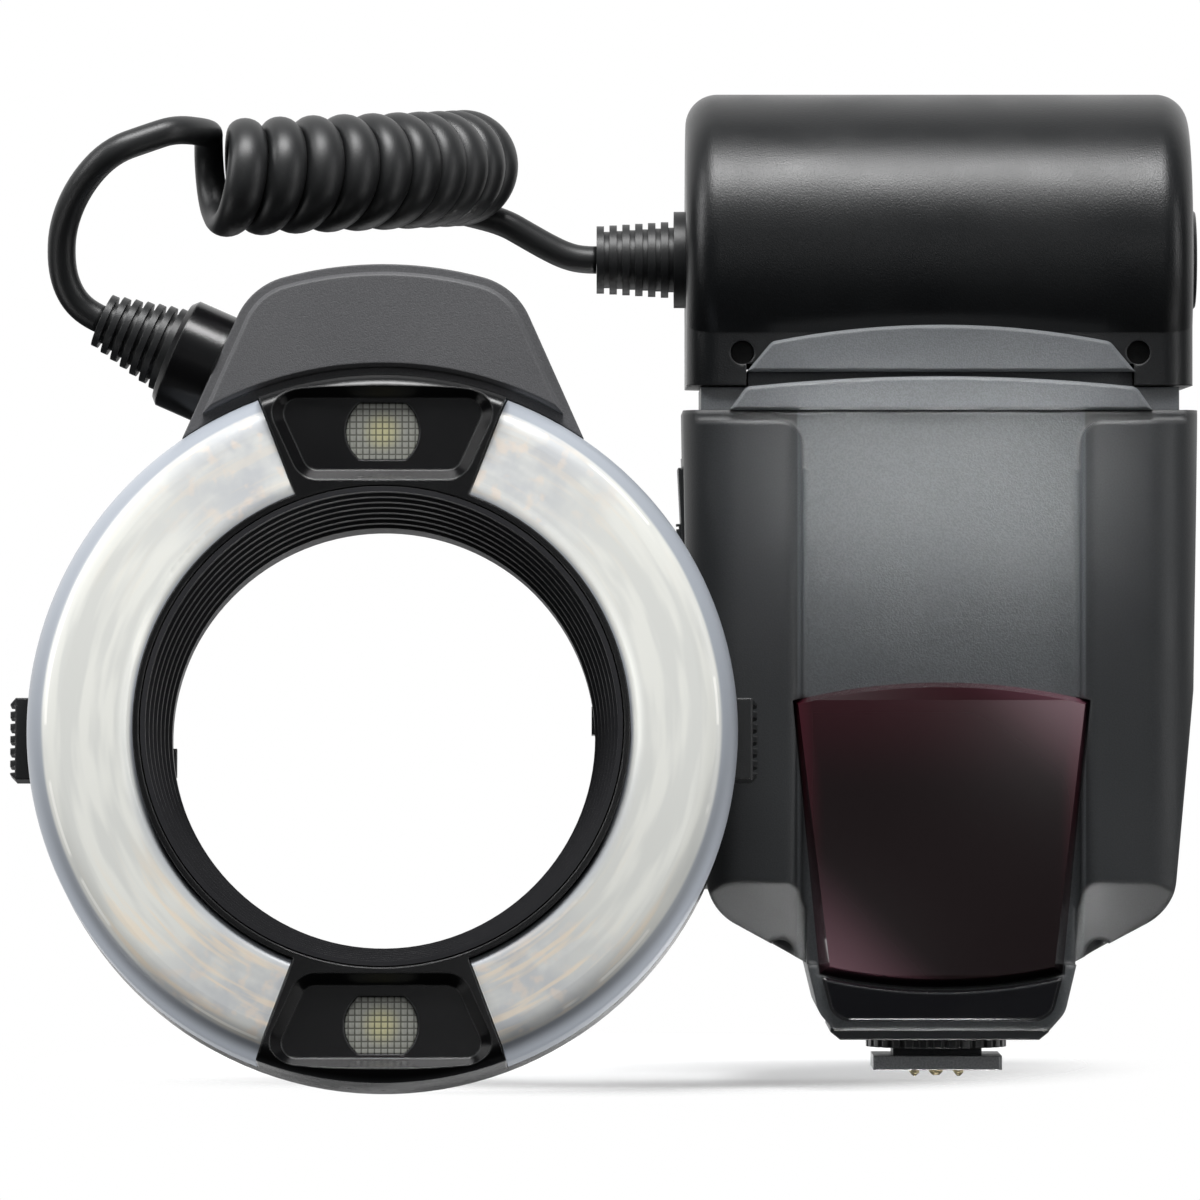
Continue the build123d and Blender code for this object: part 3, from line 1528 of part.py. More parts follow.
quarter_turns = [index / 4 for index in range(int(coil_turns * 4) + 1)]
ring_run = Vector(*ring_lead_route[-1]) - Vector(*ring_lead_route[-2])
coil_entry = Vector(*ring_lead_route[-1])
entry_heading = ring_run.normalized()
coil_leave = Vector(*control_lead_route[0])
leave_heading = (Vector(*control_lead_route[1]) - coil_leave).normalized()
with BuildPart() as coil:
    with BuildLine() as coil_path:
        Line(coil_entry, coil_entry + entry_heading * cord_diameter)
        add_biarc(
            coil_entry + entry_heading * cord_diameter, entry_heading, coil_point(0), coil_heading(0)
        )
        for here, after in zip(quarter_turns, quarter_turns[1:]):
            add_biarc(coil_point(here), coil_heading(here), coil_point(after), coil_heading(after))
        add_biarc(
            coil_point(quarter_turns[-1]),
            coil_heading(quarter_turns[-1]),
            coil_leave - leave_heading * cord_diameter,
            leave_heading,
        )
        Line(coil_leave - leave_heading * cord_diameter, coil_leave)
    with BuildSketch(Plane(origin=coil_entry, z_dir=entry_heading)):
        Circle(cord_diameter / 2)
    sweep(path=coil_path.wires()[0])
export("coil", coil.part)


def lead(name, points):
    """A round lead: straight runs joined by arcs as large as the runs allow."""
    vectors = [Vector(*point) for point in points]
    radii = []
    for before, corner, after in zip(vectors, vectors[1:], vectors[2:]):
        turn = math.radians((corner - before).get_angle(after - corner))
        shorter = min((corner - before).length, (after - corner).length)
        radii.append(fillet_share * shorter / math.tan(turn / 2))
    with BuildPart() as tube:
        with BuildLine() as path:
            FilletPolyline(*vectors, radius=radii)
        with BuildSketch(Plane(origin=vectors[0], z_dir=vectors[1] - vectors[0])):
            Circle(cord_diameter / 2)
        sweep(path=path.wires()[0])
    length = path.wires()[0].length
    section = math.pi * (cord_diameter / 2) ** 2
    expected = section * length
    print(name, "radii", [round(radius, 1) for radius in radii])
    print(name, "length", round(length, 1), "volume", round(tube.part.volume / expected, 3))
    export(name, tube.part)
    return length


ring_exit_corner = ring_exit + outward * ring_exit_run
ring_lead_length = lead("lead_ring", [tuple(ring_exit), tuple(ring_exit_corner)] + ring_lead_route)
control_exit_corner = control_exit - Vector(control_exit_run, 0, 0)
control_points = control_lead_route + [tuple(control_exit_corner), tuple(control_exit)]
control_lead_length = lead("lead_control", control_points)

coil_wire = coil_path.wires()[0]
samples = int(coil_wire.length / cord_diameter * 4)
coil_samples = [coil_wire @ (index / samples) for index in range(samples + 1)]
apart = int(samples * math.pi * coil_outer_diameter / 4 / coil_wire.length)
least = min(
    (coil_samples[a] - coil_samples[b]).length
    for a in range(samples + 1)
    for b in range(a + apart, samples + 1)
)
print("coil length", round(coil_wire.length, 1), "least gap", round(least - cord_diameter, 2))
cord_length = coil_wire.length + ring_lead_length + control_lead_length
print("cord length", round(cord_length, 1))
arcs = coil_path.edges().filter_by(GeomType.CIRCLE)
print("coil's tightest arc", round(min(edge.radius for edge in arcs), 2))
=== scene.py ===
# %% [markdown]
# # A macro ring flash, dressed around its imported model
# A control unit stands on a shoe foot, and a ring light hangs on a curly cord beside it. The
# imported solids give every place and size. This file adds the looks: soft moulded plastic, a fat
# rubber coil, frosted diffusers and a dark red window. Each step has a cell of words, and then
# a short cell of code.

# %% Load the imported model
import json
import math

import bpy
import numpy as np
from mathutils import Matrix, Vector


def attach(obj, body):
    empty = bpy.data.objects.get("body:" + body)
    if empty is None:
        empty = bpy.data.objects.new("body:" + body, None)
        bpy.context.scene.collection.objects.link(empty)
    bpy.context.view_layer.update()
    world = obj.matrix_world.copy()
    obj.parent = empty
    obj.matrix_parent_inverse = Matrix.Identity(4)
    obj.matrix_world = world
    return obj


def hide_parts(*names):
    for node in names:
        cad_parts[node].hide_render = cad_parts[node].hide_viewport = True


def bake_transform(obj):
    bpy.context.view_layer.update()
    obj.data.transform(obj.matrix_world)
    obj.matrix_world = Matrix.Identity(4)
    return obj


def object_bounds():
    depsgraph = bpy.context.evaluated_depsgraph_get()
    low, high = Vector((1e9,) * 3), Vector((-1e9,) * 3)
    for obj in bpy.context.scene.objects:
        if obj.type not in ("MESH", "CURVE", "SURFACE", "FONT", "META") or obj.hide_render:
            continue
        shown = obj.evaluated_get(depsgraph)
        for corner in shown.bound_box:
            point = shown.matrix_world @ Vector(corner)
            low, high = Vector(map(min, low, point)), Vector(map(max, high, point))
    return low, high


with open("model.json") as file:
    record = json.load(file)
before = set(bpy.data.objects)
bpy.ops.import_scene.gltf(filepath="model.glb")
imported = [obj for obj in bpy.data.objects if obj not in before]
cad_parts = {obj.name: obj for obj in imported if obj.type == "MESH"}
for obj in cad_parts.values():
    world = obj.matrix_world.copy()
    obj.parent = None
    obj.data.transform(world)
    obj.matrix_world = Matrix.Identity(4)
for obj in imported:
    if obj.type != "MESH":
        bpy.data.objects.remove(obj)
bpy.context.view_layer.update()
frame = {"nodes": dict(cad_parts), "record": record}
nodes = frame["nodes"]
mm = 0.001
print("CAD nodes:", len(nodes))

# %% [markdown]
# ## Camera
# The photograph was taken from far away and dead level. A wide lens close by would show the
# sides of the control unit and make the ring, which stands in front, too large. A long lens at
# 1.6 m gives the flat perspective of the photograph, so that is what is used here.

# %% Camera
camera_distance = 1.6
view_width = 0.17436
view_middle = (-0.0488, 0.0679)
camera_data = bpy.data.cameras.new("photo_camera")
camera_data.sensor_width = 36.0
camera_data.lens = camera_data.sensor_width * camera_distance / view_width
camera_data.clip_start = 0.01
camera = bpy.data.objects.new("photo_camera", camera_data)
camera.location = (view_middle[0], -camera_distance, view_middle[1])
camera.rotation_euler = (math.pi / 2, 0, 0)
bpy.context.scene.collection.objects.link(camera)
bpy.context.scene.camera = camera
bpy.context.scene.view_settings.view_transform = "Standard"
print("lens", round(camera_data.lens, 1), "mm")


# %% [markdown]
# ## Surfaces from arrays
# A surface is a grid of points: rows run along it and columns run across it. The points are
# worked out for the whole grid at once, and one helper turns them into a mesh. Modelling by
# hand would do for one piece, but a formula can be changed and made again.

# %% Grid of points to mesh
def new_piece(name, points, faces, smooth=True, uv=None):
    """An object at the origin from an array of points and a list of face arrays."""
    mesh = bpy.data.meshes.new(name)
    mesh.from_pydata(points.reshape(-1, 3).tolist(), [], [face.tolist() for face in faces])
    mesh.polygons.foreach_set("use_smooth", np.full(len(mesh.polygons), smooth))
    if uv is not None:
        layer = mesh.uv_layers.new(name="surface")
        corner = np.empty(len(mesh.loops), dtype=np.int64)
        mesh.loops.foreach_get("vertex_index", corner)
        layer.data.foreach_set("uv", uv.reshape(-1, 2)[corner].ravel())
    mesh.update()
    piece = bpy.data.objects.new(name, mesh)
    bpy.context.scene.collection.objects.link(piece)
    return piece


def grid_faces(rows, columns, around=False):
    """Four-sided faces between neighbouring rows and columns; around joins the last column."""
    last = columns if around else columns - 1
    row, column = np.meshgrid(np.arange(rows - 1), np.arange(last), indexing="ij")
    after = (column + 1) % columns
    corners = [row * columns + column, row * columns + after,
               (row + 1) * columns + after, (row + 1) * columns + column]
    return np.stack(corners, -1).reshape(-1, 4)


print("faces between 3 by 4 points:", len(grid_faces(3, 4)), "and joined:",
      len(grid_faces(3, 4, True)))


# %% [markdown]
# ## Closed tubes and plates
# Two forms come back in this scene. A cord is a tube, whose ends are closed by fans of
# triangles. A lens is a plate between a front and a back, with a wall round its border. Both
# are closed all round, as a solid piece has to be.

# %% Tube and plate
def capped_tube(name, rings, uv=None):
    """A closed tube from rings of points: side faces between rings and a fan at each end."""
    rows, columns = rings.shape[:2]
    ends = np.stack([rings[0].mean(0), rings[-1].mean(0)])
    points = np.concatenate([rings.reshape(-1, 3), ends])
    column = np.arange(columns)
    after = (column + 1) % columns
    first = np.full(columns, rows * columns)
    last_row = (rows - 1) * columns
    start_cap = np.stack([first, after, column], -1)
    end_cap = np.stack([first + 1, last_row + column, last_row + after], -1)
    faces = list(grid_faces(rows, columns, True)) + list(start_cap) + list(end_cap)
    if uv is not None:
        uv = np.concatenate([uv.reshape(-1, 2), uv[0].mean(0)[None], uv[-1].mean(0)[None]])
    return new_piece(name, points, faces, uv=uv)


def plate(name, front, back):
    """A closed plate between two grids of the same size, with a wall round its border."""
    rows, columns = front.shape[:2]
    count = rows * columns
    index = np.arange(count).reshape(rows, columns)
    rim = np.concatenate([index[0, :-1], index[:-1, -1], index[-1, :0:-1], index[:0:-1, 0]])
    after = np.roll(rim, -1)
    wall = np.stack([after, rim, rim + count, after + count], -1)
    faces = grid_faces(rows, columns)
    points = np.concatenate([front.reshape(-1, 3), back.reshape(-1, 3)])
    return new_piece(name, points, list(faces) + list(faces[:, ::-1] + count) + list(wall))


def unit(vectors):
    """Each vector divided by its length."""
    return vectors / np.linalg.norm(vectors, axis=-1, keepdims=True)


def smooth_step(low, high, value):
    """0 below low, 1 above high, and the cubic 3t^2 - 2t^3 between them."""
    share = np.clip((value - low) / (high - low), 0, 1)
    return share * share * (3 - 2 * share)


print("a quarter of the way, a smooth step is at", float(smooth_step(0, 1, 0.25)))

# %% [markdown]
# ## Leads of the curly cord
# The real cord is one rubber-sheathed cable. It leaves the ring's strain relief to the left
# and rises in an open bow. At its other end it drops out of the coil into the control unit's
# strain relief. A few points in millimetres give each lead, because a spline rounds them off.

# %% Points of the two leads
ring_lead = np.array([
    (-119.41, -37.78, 107.62), (-121.69, -37.66, 108.62), (-124.1, -38.2, 111.4),
    (-125.2, -39.2, 115.4), (-124.9, -40.9, 121.0), (-122.3, -44.0, 126.6),
    (-117.9, -46.7, 131.2), (-112.5, -45.0, 133.2), (-108.7, -43.8, 134.5),
])
control_lead = np.array([
    (-62.8, -1.1, 122.8), (-59.5, -0.7, 120.9), (-56.5, -0.35, 119.2),
    (-53.8, -0.1, 117.9), (-51.3, 0.0, 117.3), (-49.3, 0.0, 117.3),
])
print("lead points:", len(ring_lead), "and", len(control_lead))

# %% [markdown]
# ## Axis of the coil
# Ten and a half turns lie side by side. In the photograph they close up to the right, because
# the coil swings to the back there. So its axis is an arc seen from above, whose yaw grows
# evenly with the turns, and which rises a little.

# %% Axis of the coil
coil_turns = 10.5
coil_pitch = 5.2
coil_radius = 6.4
coil_start = np.array([-104.3, -37.0, 127.7])
coil_rise = 3.0
yaw_start, yaw_end = math.radians(10), math.radians(80)
coil_swing = yaw_end - yaw_start
bend_radius = coil_pitch * coil_turns / coil_swing


def coil_axis(turns):
    """Centre and yaw of the axis after some turns.

    yaw = start + swing * turns / all turns, and the centre is
    start + bend radius * (sin(yaw) - sin(start), cos(start) - cos(yaw)), with an even rise.
    """
    yaw = yaw_start + coil_swing * turns / coil_turns
    x = coil_start[0] + bend_radius * (np.sin(yaw) - math.sin(yaw_start))
    y = coil_start[1] + bend_radius * (math.cos(yaw_start) - np.cos(yaw))
    z = coil_start[2] + coil_rise * turns / coil_turns
    return np.stack([x, y, z], -1), yaw


print("the coil's axis ends at", coil_axis(coil_turns)[0].round(1), "mm")

# %% [markdown]
# ## Turns of the coil
# A helix is centre + radius * (back * sin + up * cos). It keeps its turns evenly spaced round
# the bent axis. The spline of the next cell cuts the corners between its points, so the points
# lie a little further out than the radius that the cord should have.

# %% Turns of the coil
points_per_turn = 16
turns = np.arange(0, coil_turns + 1e-6, 1 / points_per_turn)
centres, yaw = coil_axis(turns)
backwards = np.stack([-np.sin(yaw), np.cos(yaw), np.zeros_like(yaw)], -1)
turned = 2 * math.pi * turns
widened = coil_radius / math.cos(math.pi / points_per_turn)
helix = centres + widened * backwards * np.sin(turned)[:, None]
helix[:, 2] += widened * np.cos(turned)
route = np.concatenate([ring_lead, helix, control_lead]) * mm
print("route points:", len(route))

# %% [markdown]
# ## One smooth line
# A NURBS spline of order 3 carries the whole route on one smooth curve, from the ring's relief
# to the control unit's. Its evaluated points become the path that the skin follows, and their
# distances add up to the cord's length.

# %% Cord line
line_data = bpy.data.curves.new("cord_line", "CURVE")
line_data.dimensions = "3D"
line_data.resolution_u = 6
spline = line_data.splines.new("NURBS")
spline.points.add(len(route) - 1)
spline.points.foreach_set("co", np.hstack([route, np.ones((len(route), 1))]).ravel())
spline.order_u = 3
spline.use_endpoint_u = True
line_object = bpy.data.objects.new("cord_line", line_data)
line_mesh = bpy.data.meshes.new_from_object(line_object)
path = np.empty(len(line_mesh.vertices) * 3)
line_mesh.vertices.foreach_get("co", path)
path = path.reshape(-1, 3)
bpy.data.objects.remove(line_object)
bpy.data.meshes.remove(line_mesh)
steps = np.linalg.norm(np.diff(path, axis=0), axis=1)

# %% [markdown]
# ## How wide the cord is pressed
# Where the cord runs free it is round. Wound up, a curly cord's sheath is pressed wide, so that
# each turn touches the next. Along the path, this cell finds the direction of the coil's axis
# and half the distance between turns, which is larger on the outside of the bend than inside.

# %% Width of the skin
cord_radius = 2.0
touch_share = 0.485
fade_turns = 0.35
tangent = unit(np.gradient(path, axis=0))
point_number = np.linspace(0, len(route) - 1, len(path))
turn_here = np.clip((point_number - len(ring_lead)) / points_per_turn, 0, coil_turns)
centre_here, yaw_here = coil_axis(turn_here)
level = np.zeros_like(yaw_here)
axis_here = np.stack([np.cos(yaw_here), np.sin(yaw_here), level], -1)
away_from_bend = np.stack([np.sin(yaw_here), -np.cos(yaw_here), level], -1)
outside = ((path / mm - centre_here) * away_from_bend).sum(-1)
spacing = coil_pitch * (1 + outside / bend_radius)
wound = (smooth_step(0.0, fade_turns, turn_here)
         * (1 - smooth_step(coil_turns - fade_turns, coil_turns, turn_here)))
half_width = cord_radius + (touch_share * spacing - cord_radius) * wound
print("half widths from", round(half_width.min(), 2), "to", round(half_width.max(), 2), "mm")

# %% [markdown]
# ## Skin of the curly cord
# The cross-section is an ellipse carried along the path: its wide half lies along the coil's
# axis, and its other half keeps the cord's radius. A bevelled curve would give only a round
# cord, so the rings of points are worked out here and joined to a tube. The skin's own
# coordinates count once round the cord, and along it in steps of its girth.

# %% Cord skin
cord_girth = 12.6
entering = smooth_step(len(ring_lead) - 4, len(ring_lead) + 1, point_number)
coil_last = len(route) - len(control_lead)
leaving = smooth_step(coil_last - 2, coil_last + 2, point_number)
wide = axis_here * entering[:, None] + np.array([0, -1, 0]) * (1 - entering)[:, None]
wide = wide * (1 - leaving)[:, None] + np.array([0, 1, 0]) * leaving[:, None]
wide = unit(wide - tangent * (wide * tangent).sum(-1, keepdims=True))
thick = np.cross(tangent, wide)
round_angle = np.linspace(0, 2 * math.pi, 24, endpoint=False)
rings = (path[:, None]
         + (half_width * mm)[:, None, None] * wide[:, None] * np.cos(round_angle)[None, :, None]
         + cord_radius * mm * thick[:, None] * np.sin(round_angle)[None, :, None])
along = np.concatenate([[0], np.cumsum(steps)])
cord_uv = np.stack(np.broadcast_arrays(
    round_angle[None] / (2 * math.pi), (along / (cord_girth * mm))[:, None]), -1)
curly_cord = capped_tube("curly_cord", rings, uv=cord_uv)
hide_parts("lead_ring", "coil", "lead_control")
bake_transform(curly_cord)
print("cord skin faces:", len(curly_cord.data.polygons))

# %% [markdown]
# ## The ring's own frame
# The ring leans back by 7 degrees. Its pieces are easier to think of looking straight at it,
# so three directions and a centre turn places in the ring's frame into places in the scene.

# %% Frame of the ring
ring_centre = np.array([-79.4, -33.6, 47.3])
lean = math.radians(7.0)
ring_right = np.array([1.0, 0.0, 0.0])
ring_up = np.array([0.0, math.sin(lean), math.cos(lean)])
ring_front = np.array([0.0, -math.cos(lean), math.sin(lean)])


def on_ring(across, up, height):
    """centre + across * right + up * up + height * front, from mm in the ring to metres."""
    return mm * (ring_centre + across[..., None] * ring_right + up[..., None] * ring_up
                 + height[..., None] * ring_front)


print("the ring's front faces", ring_front.round(3))

# %% [markdown]
# ## Gridded lenses of the focusing lamps
# Each black segment carries a lamp behind a small moulded lens: a round window with a flat top
# and foot, whose front is a field of tiny pyramids that spread the light. In one grid of
# points, the row runs up the lens and the column across it, and the height follows the
# distance to the nearest cell edge.

# %% Lamp lenses
lens_radius, lens_half_height, lens_place = 5.1, 3.95, 41.9
lens_face, lens_depth, prism_pitch, prism_depth = 22.4, 1.6, 0.92, 0.08


def lens_grids(side):
    """Front and back of one lens.

    With v from -1 to 1 up the lens and u from -1 to 1 across it: up = half height * v,
    across = u * sqrt(radius^2 - up^2), and the front lies at
    face - depth * max(saw(across), saw(up)), where saw(x) = |2 * fract(x / pitch + 0.5) - 1|
    is the share of half a cell from the cell's middle.
    """
    u, v = np.meshgrid(np.linspace(-1, 1, 105), np.linspace(-1, 1, 81))
    up = lens_half_height * v
    across = u * np.sqrt(lens_radius ** 2 - up ** 2)
    saw_across = np.abs(2 * ((across / prism_pitch + 0.5) % 1) - 1)
    saw_up = np.abs(2 * ((up / prism_pitch + 0.5) % 1) - 1)
    front = lens_face - prism_depth * np.maximum(saw_across, saw_up)
    back = np.full_like(u, lens_face - lens_depth)
    lens_up = side * lens_place + up
    return on_ring(across, lens_up, front), on_ring(across, lens_up, back)


lamp_lenses = {}
for side, word in ((1, "upper"), (-1, "lower")):
    lens = plate(f"{word}_lamp_lens", *lens_grids(side))
    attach(lens, "ring_light")
    lamp_lenses[word] = lens
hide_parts("led_windows")
print("lens cells:", round(2 * lens_radius / prism_pitch), "across")

# %% [markdown]
# ## Nodes in few words
# A finish is a small network of nodes: coordinates go in, patterns vary colour and roughness,
# and a shader comes out. The helpers here add one node each and join it up, so that the cells
# below read as the recipe of a finish and not as a list of clicks.

# %% Node helpers
white, black = (1, 1, 1, 1), (0, 0, 0, 1)


def fill(tree, socket, value):
    """Link a socket to another one, or write a plain value into it."""
    if isinstance(value, bpy.types.NodeSocket):
        tree.links.new(value, socket)
    else:
        socket.default_value = value


def add_node(tree, kind, settings=None, **inputs):
    """A node with its settings set and its inputs linked or filled by name."""
    node = tree.nodes.new(kind)
    for key, value in (settings or {}).items():
        setattr(node, key, value)
    for key, value in inputs.items():
        fill(tree, node.inputs[key.replace("_", " ")], value)
    return node


def calculate(tree, operation, first, second=None, third=None):
    """The output of a maths node on values or sockets."""
    node = add_node(tree, "ShaderNodeMath", {"operation": operation})
    for socket, value in zip(node.inputs, (first, second, third)):
        if value is not None:
            fill(tree, socket, value)
    return node.outputs[0]


def vector_maths(tree, operation, first, second=None):
    """The node that works on two vectors; its length or product is its output Value."""
    node = add_node(tree, "ShaderNodeVectorMath", {"operation": operation})
    fill(tree, node.inputs[0], first)
    if second is not None:
        fill(tree, node.inputs[1], second)
    return node.outputs


def mix_colour(tree, factor, first, second, way="MIX"):
    """first * (1 - factor) + second * factor, or the first times the second for MULTIPLY.

    The mix node has inputs of every kind: 0 is its factor, and 6 and 7 are its two colours.
    """
    node = add_node(tree, "ShaderNodeMix", {"data_type": "RGBA", "blend_type": way})
    for index, value in ((0, factor), (6, first), (7, second)):
        fill(tree, node.inputs[index], value)
    return node.outputs[2]


def in_range(tree, value, low, high, new_low=0.0, new_high=1.0):
    """A smooth step from new_low to new_high while the value goes from low to high."""
    node = add_node(tree, "ShaderNodeMapRange", {"interpolation_type": "SMOOTHSTEP"},
                    Value=value, From_Min=low, From_Max=high, To_Min=new_low, To_Max=new_high)
    return node.outputs[0]


def noise(tree, scale, **inputs):
    """The value of a noise texture, whose size is one over its scale."""
    return add_node(tree, "ShaderNodeTexNoise", Scale=scale, **inputs).outputs[0]


def object_place(tree):
    """The place on the piece, in metres, which moves with the piece."""
    return add_node(tree, "ShaderNodeTexCoord").outputs["Object"]


helpers = (fill, add_node, calculate, vector_maths, mix_colour, in_range, noise, object_place)
print("helpers:", ", ".join(helper.__name__ for helper in helpers))


# %% [markdown]
# ## Effects that several finishes share
# An effect that comes back is made once, as a node group with named inputs and outputs. The
# group hands out values only. The material decides what to do with them, and its shader stays
# in the material.

# %% Node group helpers
def new_group(name, inputs, outputs):
    """A node group with named sockets: inputs as (name, type, value), outputs as (name, type)."""
    group = bpy.data.node_groups.new(name, "ShaderNodeTree")
    for label, kind, value in inputs:
        socket = group.interface.new_socket(label, in_out="INPUT", socket_type=kind)
        socket.default_value = value
    for label, kind in outputs:
        group.interface.new_socket(label, in_out="OUTPUT", socket_type=kind)
    given = group.nodes.new("NodeGroupInput").outputs
    return group, given, group.nodes.new("NodeGroupOutput").inputs


def use_group(tree, group, **inputs):
    """A group node in a material, with its inputs linked or filled by name."""
    node = tree.nodes.new("ShaderNodeGroup")
    node.node_tree = group
    for key, value in inputs.items():
        fill(tree, node.inputs[key.replace("_", " ")], value)
    return node.outputs


number, colour_kind, vector_kind = "NodeSocketFloat", "NodeSocketColor", "NodeSocketVector"
print("socket types:", number, colour_kind, vector_kind)


# %% [markdown]
# ## Moulded grain
# The housings are moulded in tools whose steel was spark-eroded, so the plastic carries a fine
# even grain, and handling polishes its edges. Fine noise gives the grain, wide noise makes the
# sheen a little patchy, and a soft bevel of the normal tells where the edges are. The edges are
# painted paler, for wear and as a painted highlight.

# %% Moulded grain
def make_grain_group():
    """Fine grain in object space, as colour, roughness and normal.

    An edge is where the bevelled normal turns away from the face's: edge grows as the product
    of the two falls from 0.995 to 0.8. There the colour is paler, for wear and as a painted
    highlight, and the sheen higher.
    """
    group, given, out = new_group(
        "moulded_grain",
        [("Colour", colour_kind, (0.04, 0.04, 0.04, 1)), ("Roughness", number, 0.4),
         ("Grain Size", number, 0.0003), ("Depth", number, 0.3), ("Edge Width", number, 0.0004)],
        [("Colour", colour_kind), ("Roughness", number), ("Normal", vector_kind)])
    dark_share, light_share = (0.86, 0.86, 0.86, 1), (1.12, 1.12, 1.12, 1)
    # Paler edges: wear, and a painted highlight along the edges.
    worn_and_highlight_colour, worn_and_highlight_share, polish = (0.16, 0.16, 0.16, 1), 0.35, 0.1
    place = object_place(group)
    grain = noise(group, calculate(group, "DIVIDE", 1.0, given["Grain Size"]),
                  Vector=place, Detail=2.0, Roughness=0.6)
    cloud = noise(group, 60.0, Vector=place, Detail=3.0)
    soft = add_node(group, "ShaderNodeBevel", {"samples": 4}, Radius=given["Edge Width"]).outputs[0]
    bump = add_node(group, "ShaderNodeBump", Strength=given["Depth"], Distance=0.0001,
                    Height=grain, Normal=soft)
    face = add_node(group, "ShaderNodeNewGeometry").outputs["Normal"]
    turn = vector_maths(group, "DOT_PRODUCT", soft, face)["Value"]
    edge = in_range(group, turn, 0.995, 0.8)
    dark = mix_colour(group, 1.0, given["Colour"], dark_share, "MULTIPLY")
    light = mix_colour(group, 1.0, given["Colour"], light_share, "MULTIPLY")
    colour = mix_colour(group, in_range(group, grain, 0.35, 0.65), dark, light)
    edge_wear_and_highlight = mix_colour(group, calculate(group, "MULTIPLY", edge, worn_and_highlight_share), colour, worn_and_highlight_colour)
    patchy = in_range(group, cloud, 0.3, 0.7, -0.04, 0.04)
    rough = calculate(group, "ADD", given["Roughness"], patchy)
    polished = calculate(group, "SUBTRACT", rough, calculate(group, "MULTIPLY", edge, polish))
    group.links.new(edge_wear_and_highlight, out["Colour"])
    group.links.new(polished, out["Roughness"])
    group.links.new(bump.outputs[0], out["Normal"])
    return group


grain_group = make_grain_group()
print("node group:", grain_group.name)


# %% [markdown]
# ## Coordinates round the ring
# The diffusers' streaks run round the lens, and the lamp lenses carry a square grid. Both want
# places measured in the leaning ring. A Mapping node undoes the ring's place and lean, and a
# little geometry gives the distance from the lens axis and the angle round it.

# %% Coordinates round the ring
def make_ring_group():
    """Radius, angle, rise, and plain places across and up, in the ring's own frame.

    radius = sqrt(across^2 + up^2), angle = atan2(up, across), and rise is the angle above or
    below the level line, |atan2(up, |across|)|.
    """
    group, _, out = new_group(
        "ring_coordinates", [],
        [("Radius", number), ("Angle", number), ("Rise", number), ("Across", number),
         ("Up", number)])
    straight = add_node(group, "ShaderNodeMapping", {"vector_type": "TEXTURE"},
                        Vector=object_place(group), Location=tuple(ring_centre * mm),
                        Rotation=(-lean, 0, 0)).outputs[0]
    across, _, up = add_node(group, "ShaderNodeSeparateXYZ", Vector=straight).outputs
    square = calculate(group, "MULTIPLY_ADD", across, across,
                       calculate(group, "MULTIPLY", up, up))
    folded = calculate(group, "ARCTAN2", up, calculate(group, "ABSOLUTE", across))
    group.links.new(calculate(group, "SQRT", square), out["Radius"])
    group.links.new(calculate(group, "ARCTAN2", up, across), out["Angle"])
    group.links.new(calculate(group, "ABSOLUTE", folded), out["Rise"])
    group.links.new(across, out["Across"])
    group.links.new(up, out["Up"])
    return group


ring_group = make_ring_group()
print("node group:", ring_group.name)


# %% [markdown]
# ## Moulded plastic and metal
# Most parts are moulded and differ only in colour, sheen and grain, so one function makes
# their finish. Colour, roughness and normal come from the grain. What is the same all over,
# such as a clear coat, is written on the shader itself.

# %% Moulded plastic and metal
def new_material(name):
    """A material, its tree and its main shader."""
    material = bpy.data.materials.new(name)
    material.use_nodes = True
    return material, material.node_tree, material.node_tree.nodes["Principled BSDF"]


def moulded(name, colour, roughness, grain=0.0003, depth=0.25, edge=0.0004, gloss=0.5, coat=0.0):
    """Moulded plastic or rubber with a fine grain."""
    material, tree, shader = new_material(name)
    surface = use_group(tree, grain_group, Colour=(*colour, 1), Roughness=roughness,
                        Grain_Size=grain, Depth=depth, Edge_Width=edge)
    tree.links.new(surface["Colour"], shader.inputs["Base Color"])
    tree.links.new(surface["Roughness"], shader.inputs["Roughness"])
    tree.links.new(surface["Normal"], shader.inputs["Normal"])
    shader.inputs["Specular IOR Level"].default_value = gloss
    shader.inputs["Coat Weight"].default_value = coat
    shader.inputs["Coat Roughness"].default_value = 0.06
    return material


def metal(name, colour, roughness, grain=0.0002, depth=0.1):
    """Plain metal with a faint grain."""
    material = moulded(name, colour, roughness, grain, depth, 0.0002)
    material.node_tree.nodes["Principled BSDF"].inputs["Metallic"].default_value = 1.0
    return material


print("materials that came with the model:", len(bpy.data.materials))


# %% [markdown]
# ## Two textures in one shell
# The control unit's front is one moulding with two textures: a coarser, paler one on the panel
# between the pods, and a finer one outside. Here the same finish takes another colour and depth
# where the place lies between the pods.

# %% Front shell
panel_edge, panel_end = 0.02045, 0.02075


def panelled(name, panel_colour, side_colour, roughness, grain, depth):
    """Moulded plastic whose colour and depth change where |x| passes the panel's edge.

    The depth of the grain is 1.6 times the given one on the panel and 0.6 times outside it.
    """
    material = moulded(name, side_colour, roughness, grain, depth, 0.0011)
    tree = material.node_tree
    x = add_node(tree, "ShaderNodeSeparateXYZ", Vector=object_place(tree)).outputs["X"]
    panel = in_range(tree, calculate(tree, "ABSOLUTE", x), panel_end, panel_edge)
    surface = next(node for node in tree.nodes if node.type == "GROUP")
    colour = mix_colour(tree, panel, (*side_colour, 1), (*panel_colour, 1))
    fill(tree, surface.inputs["Colour"], colour)
    fill(tree, surface.inputs["Depth"], in_range(tree, panel, 0.0, 1.0, depth * 0.6, depth * 1.6))
    return material


front_plastic = panelled("front_plastic", (0.062, 0.067, 0.071), (0.019, 0.0205, 0.022),
                         0.46, 0.00024, 0.4)
print("the panel is", round(2 * panel_edge / mm, 1), "mm wide")

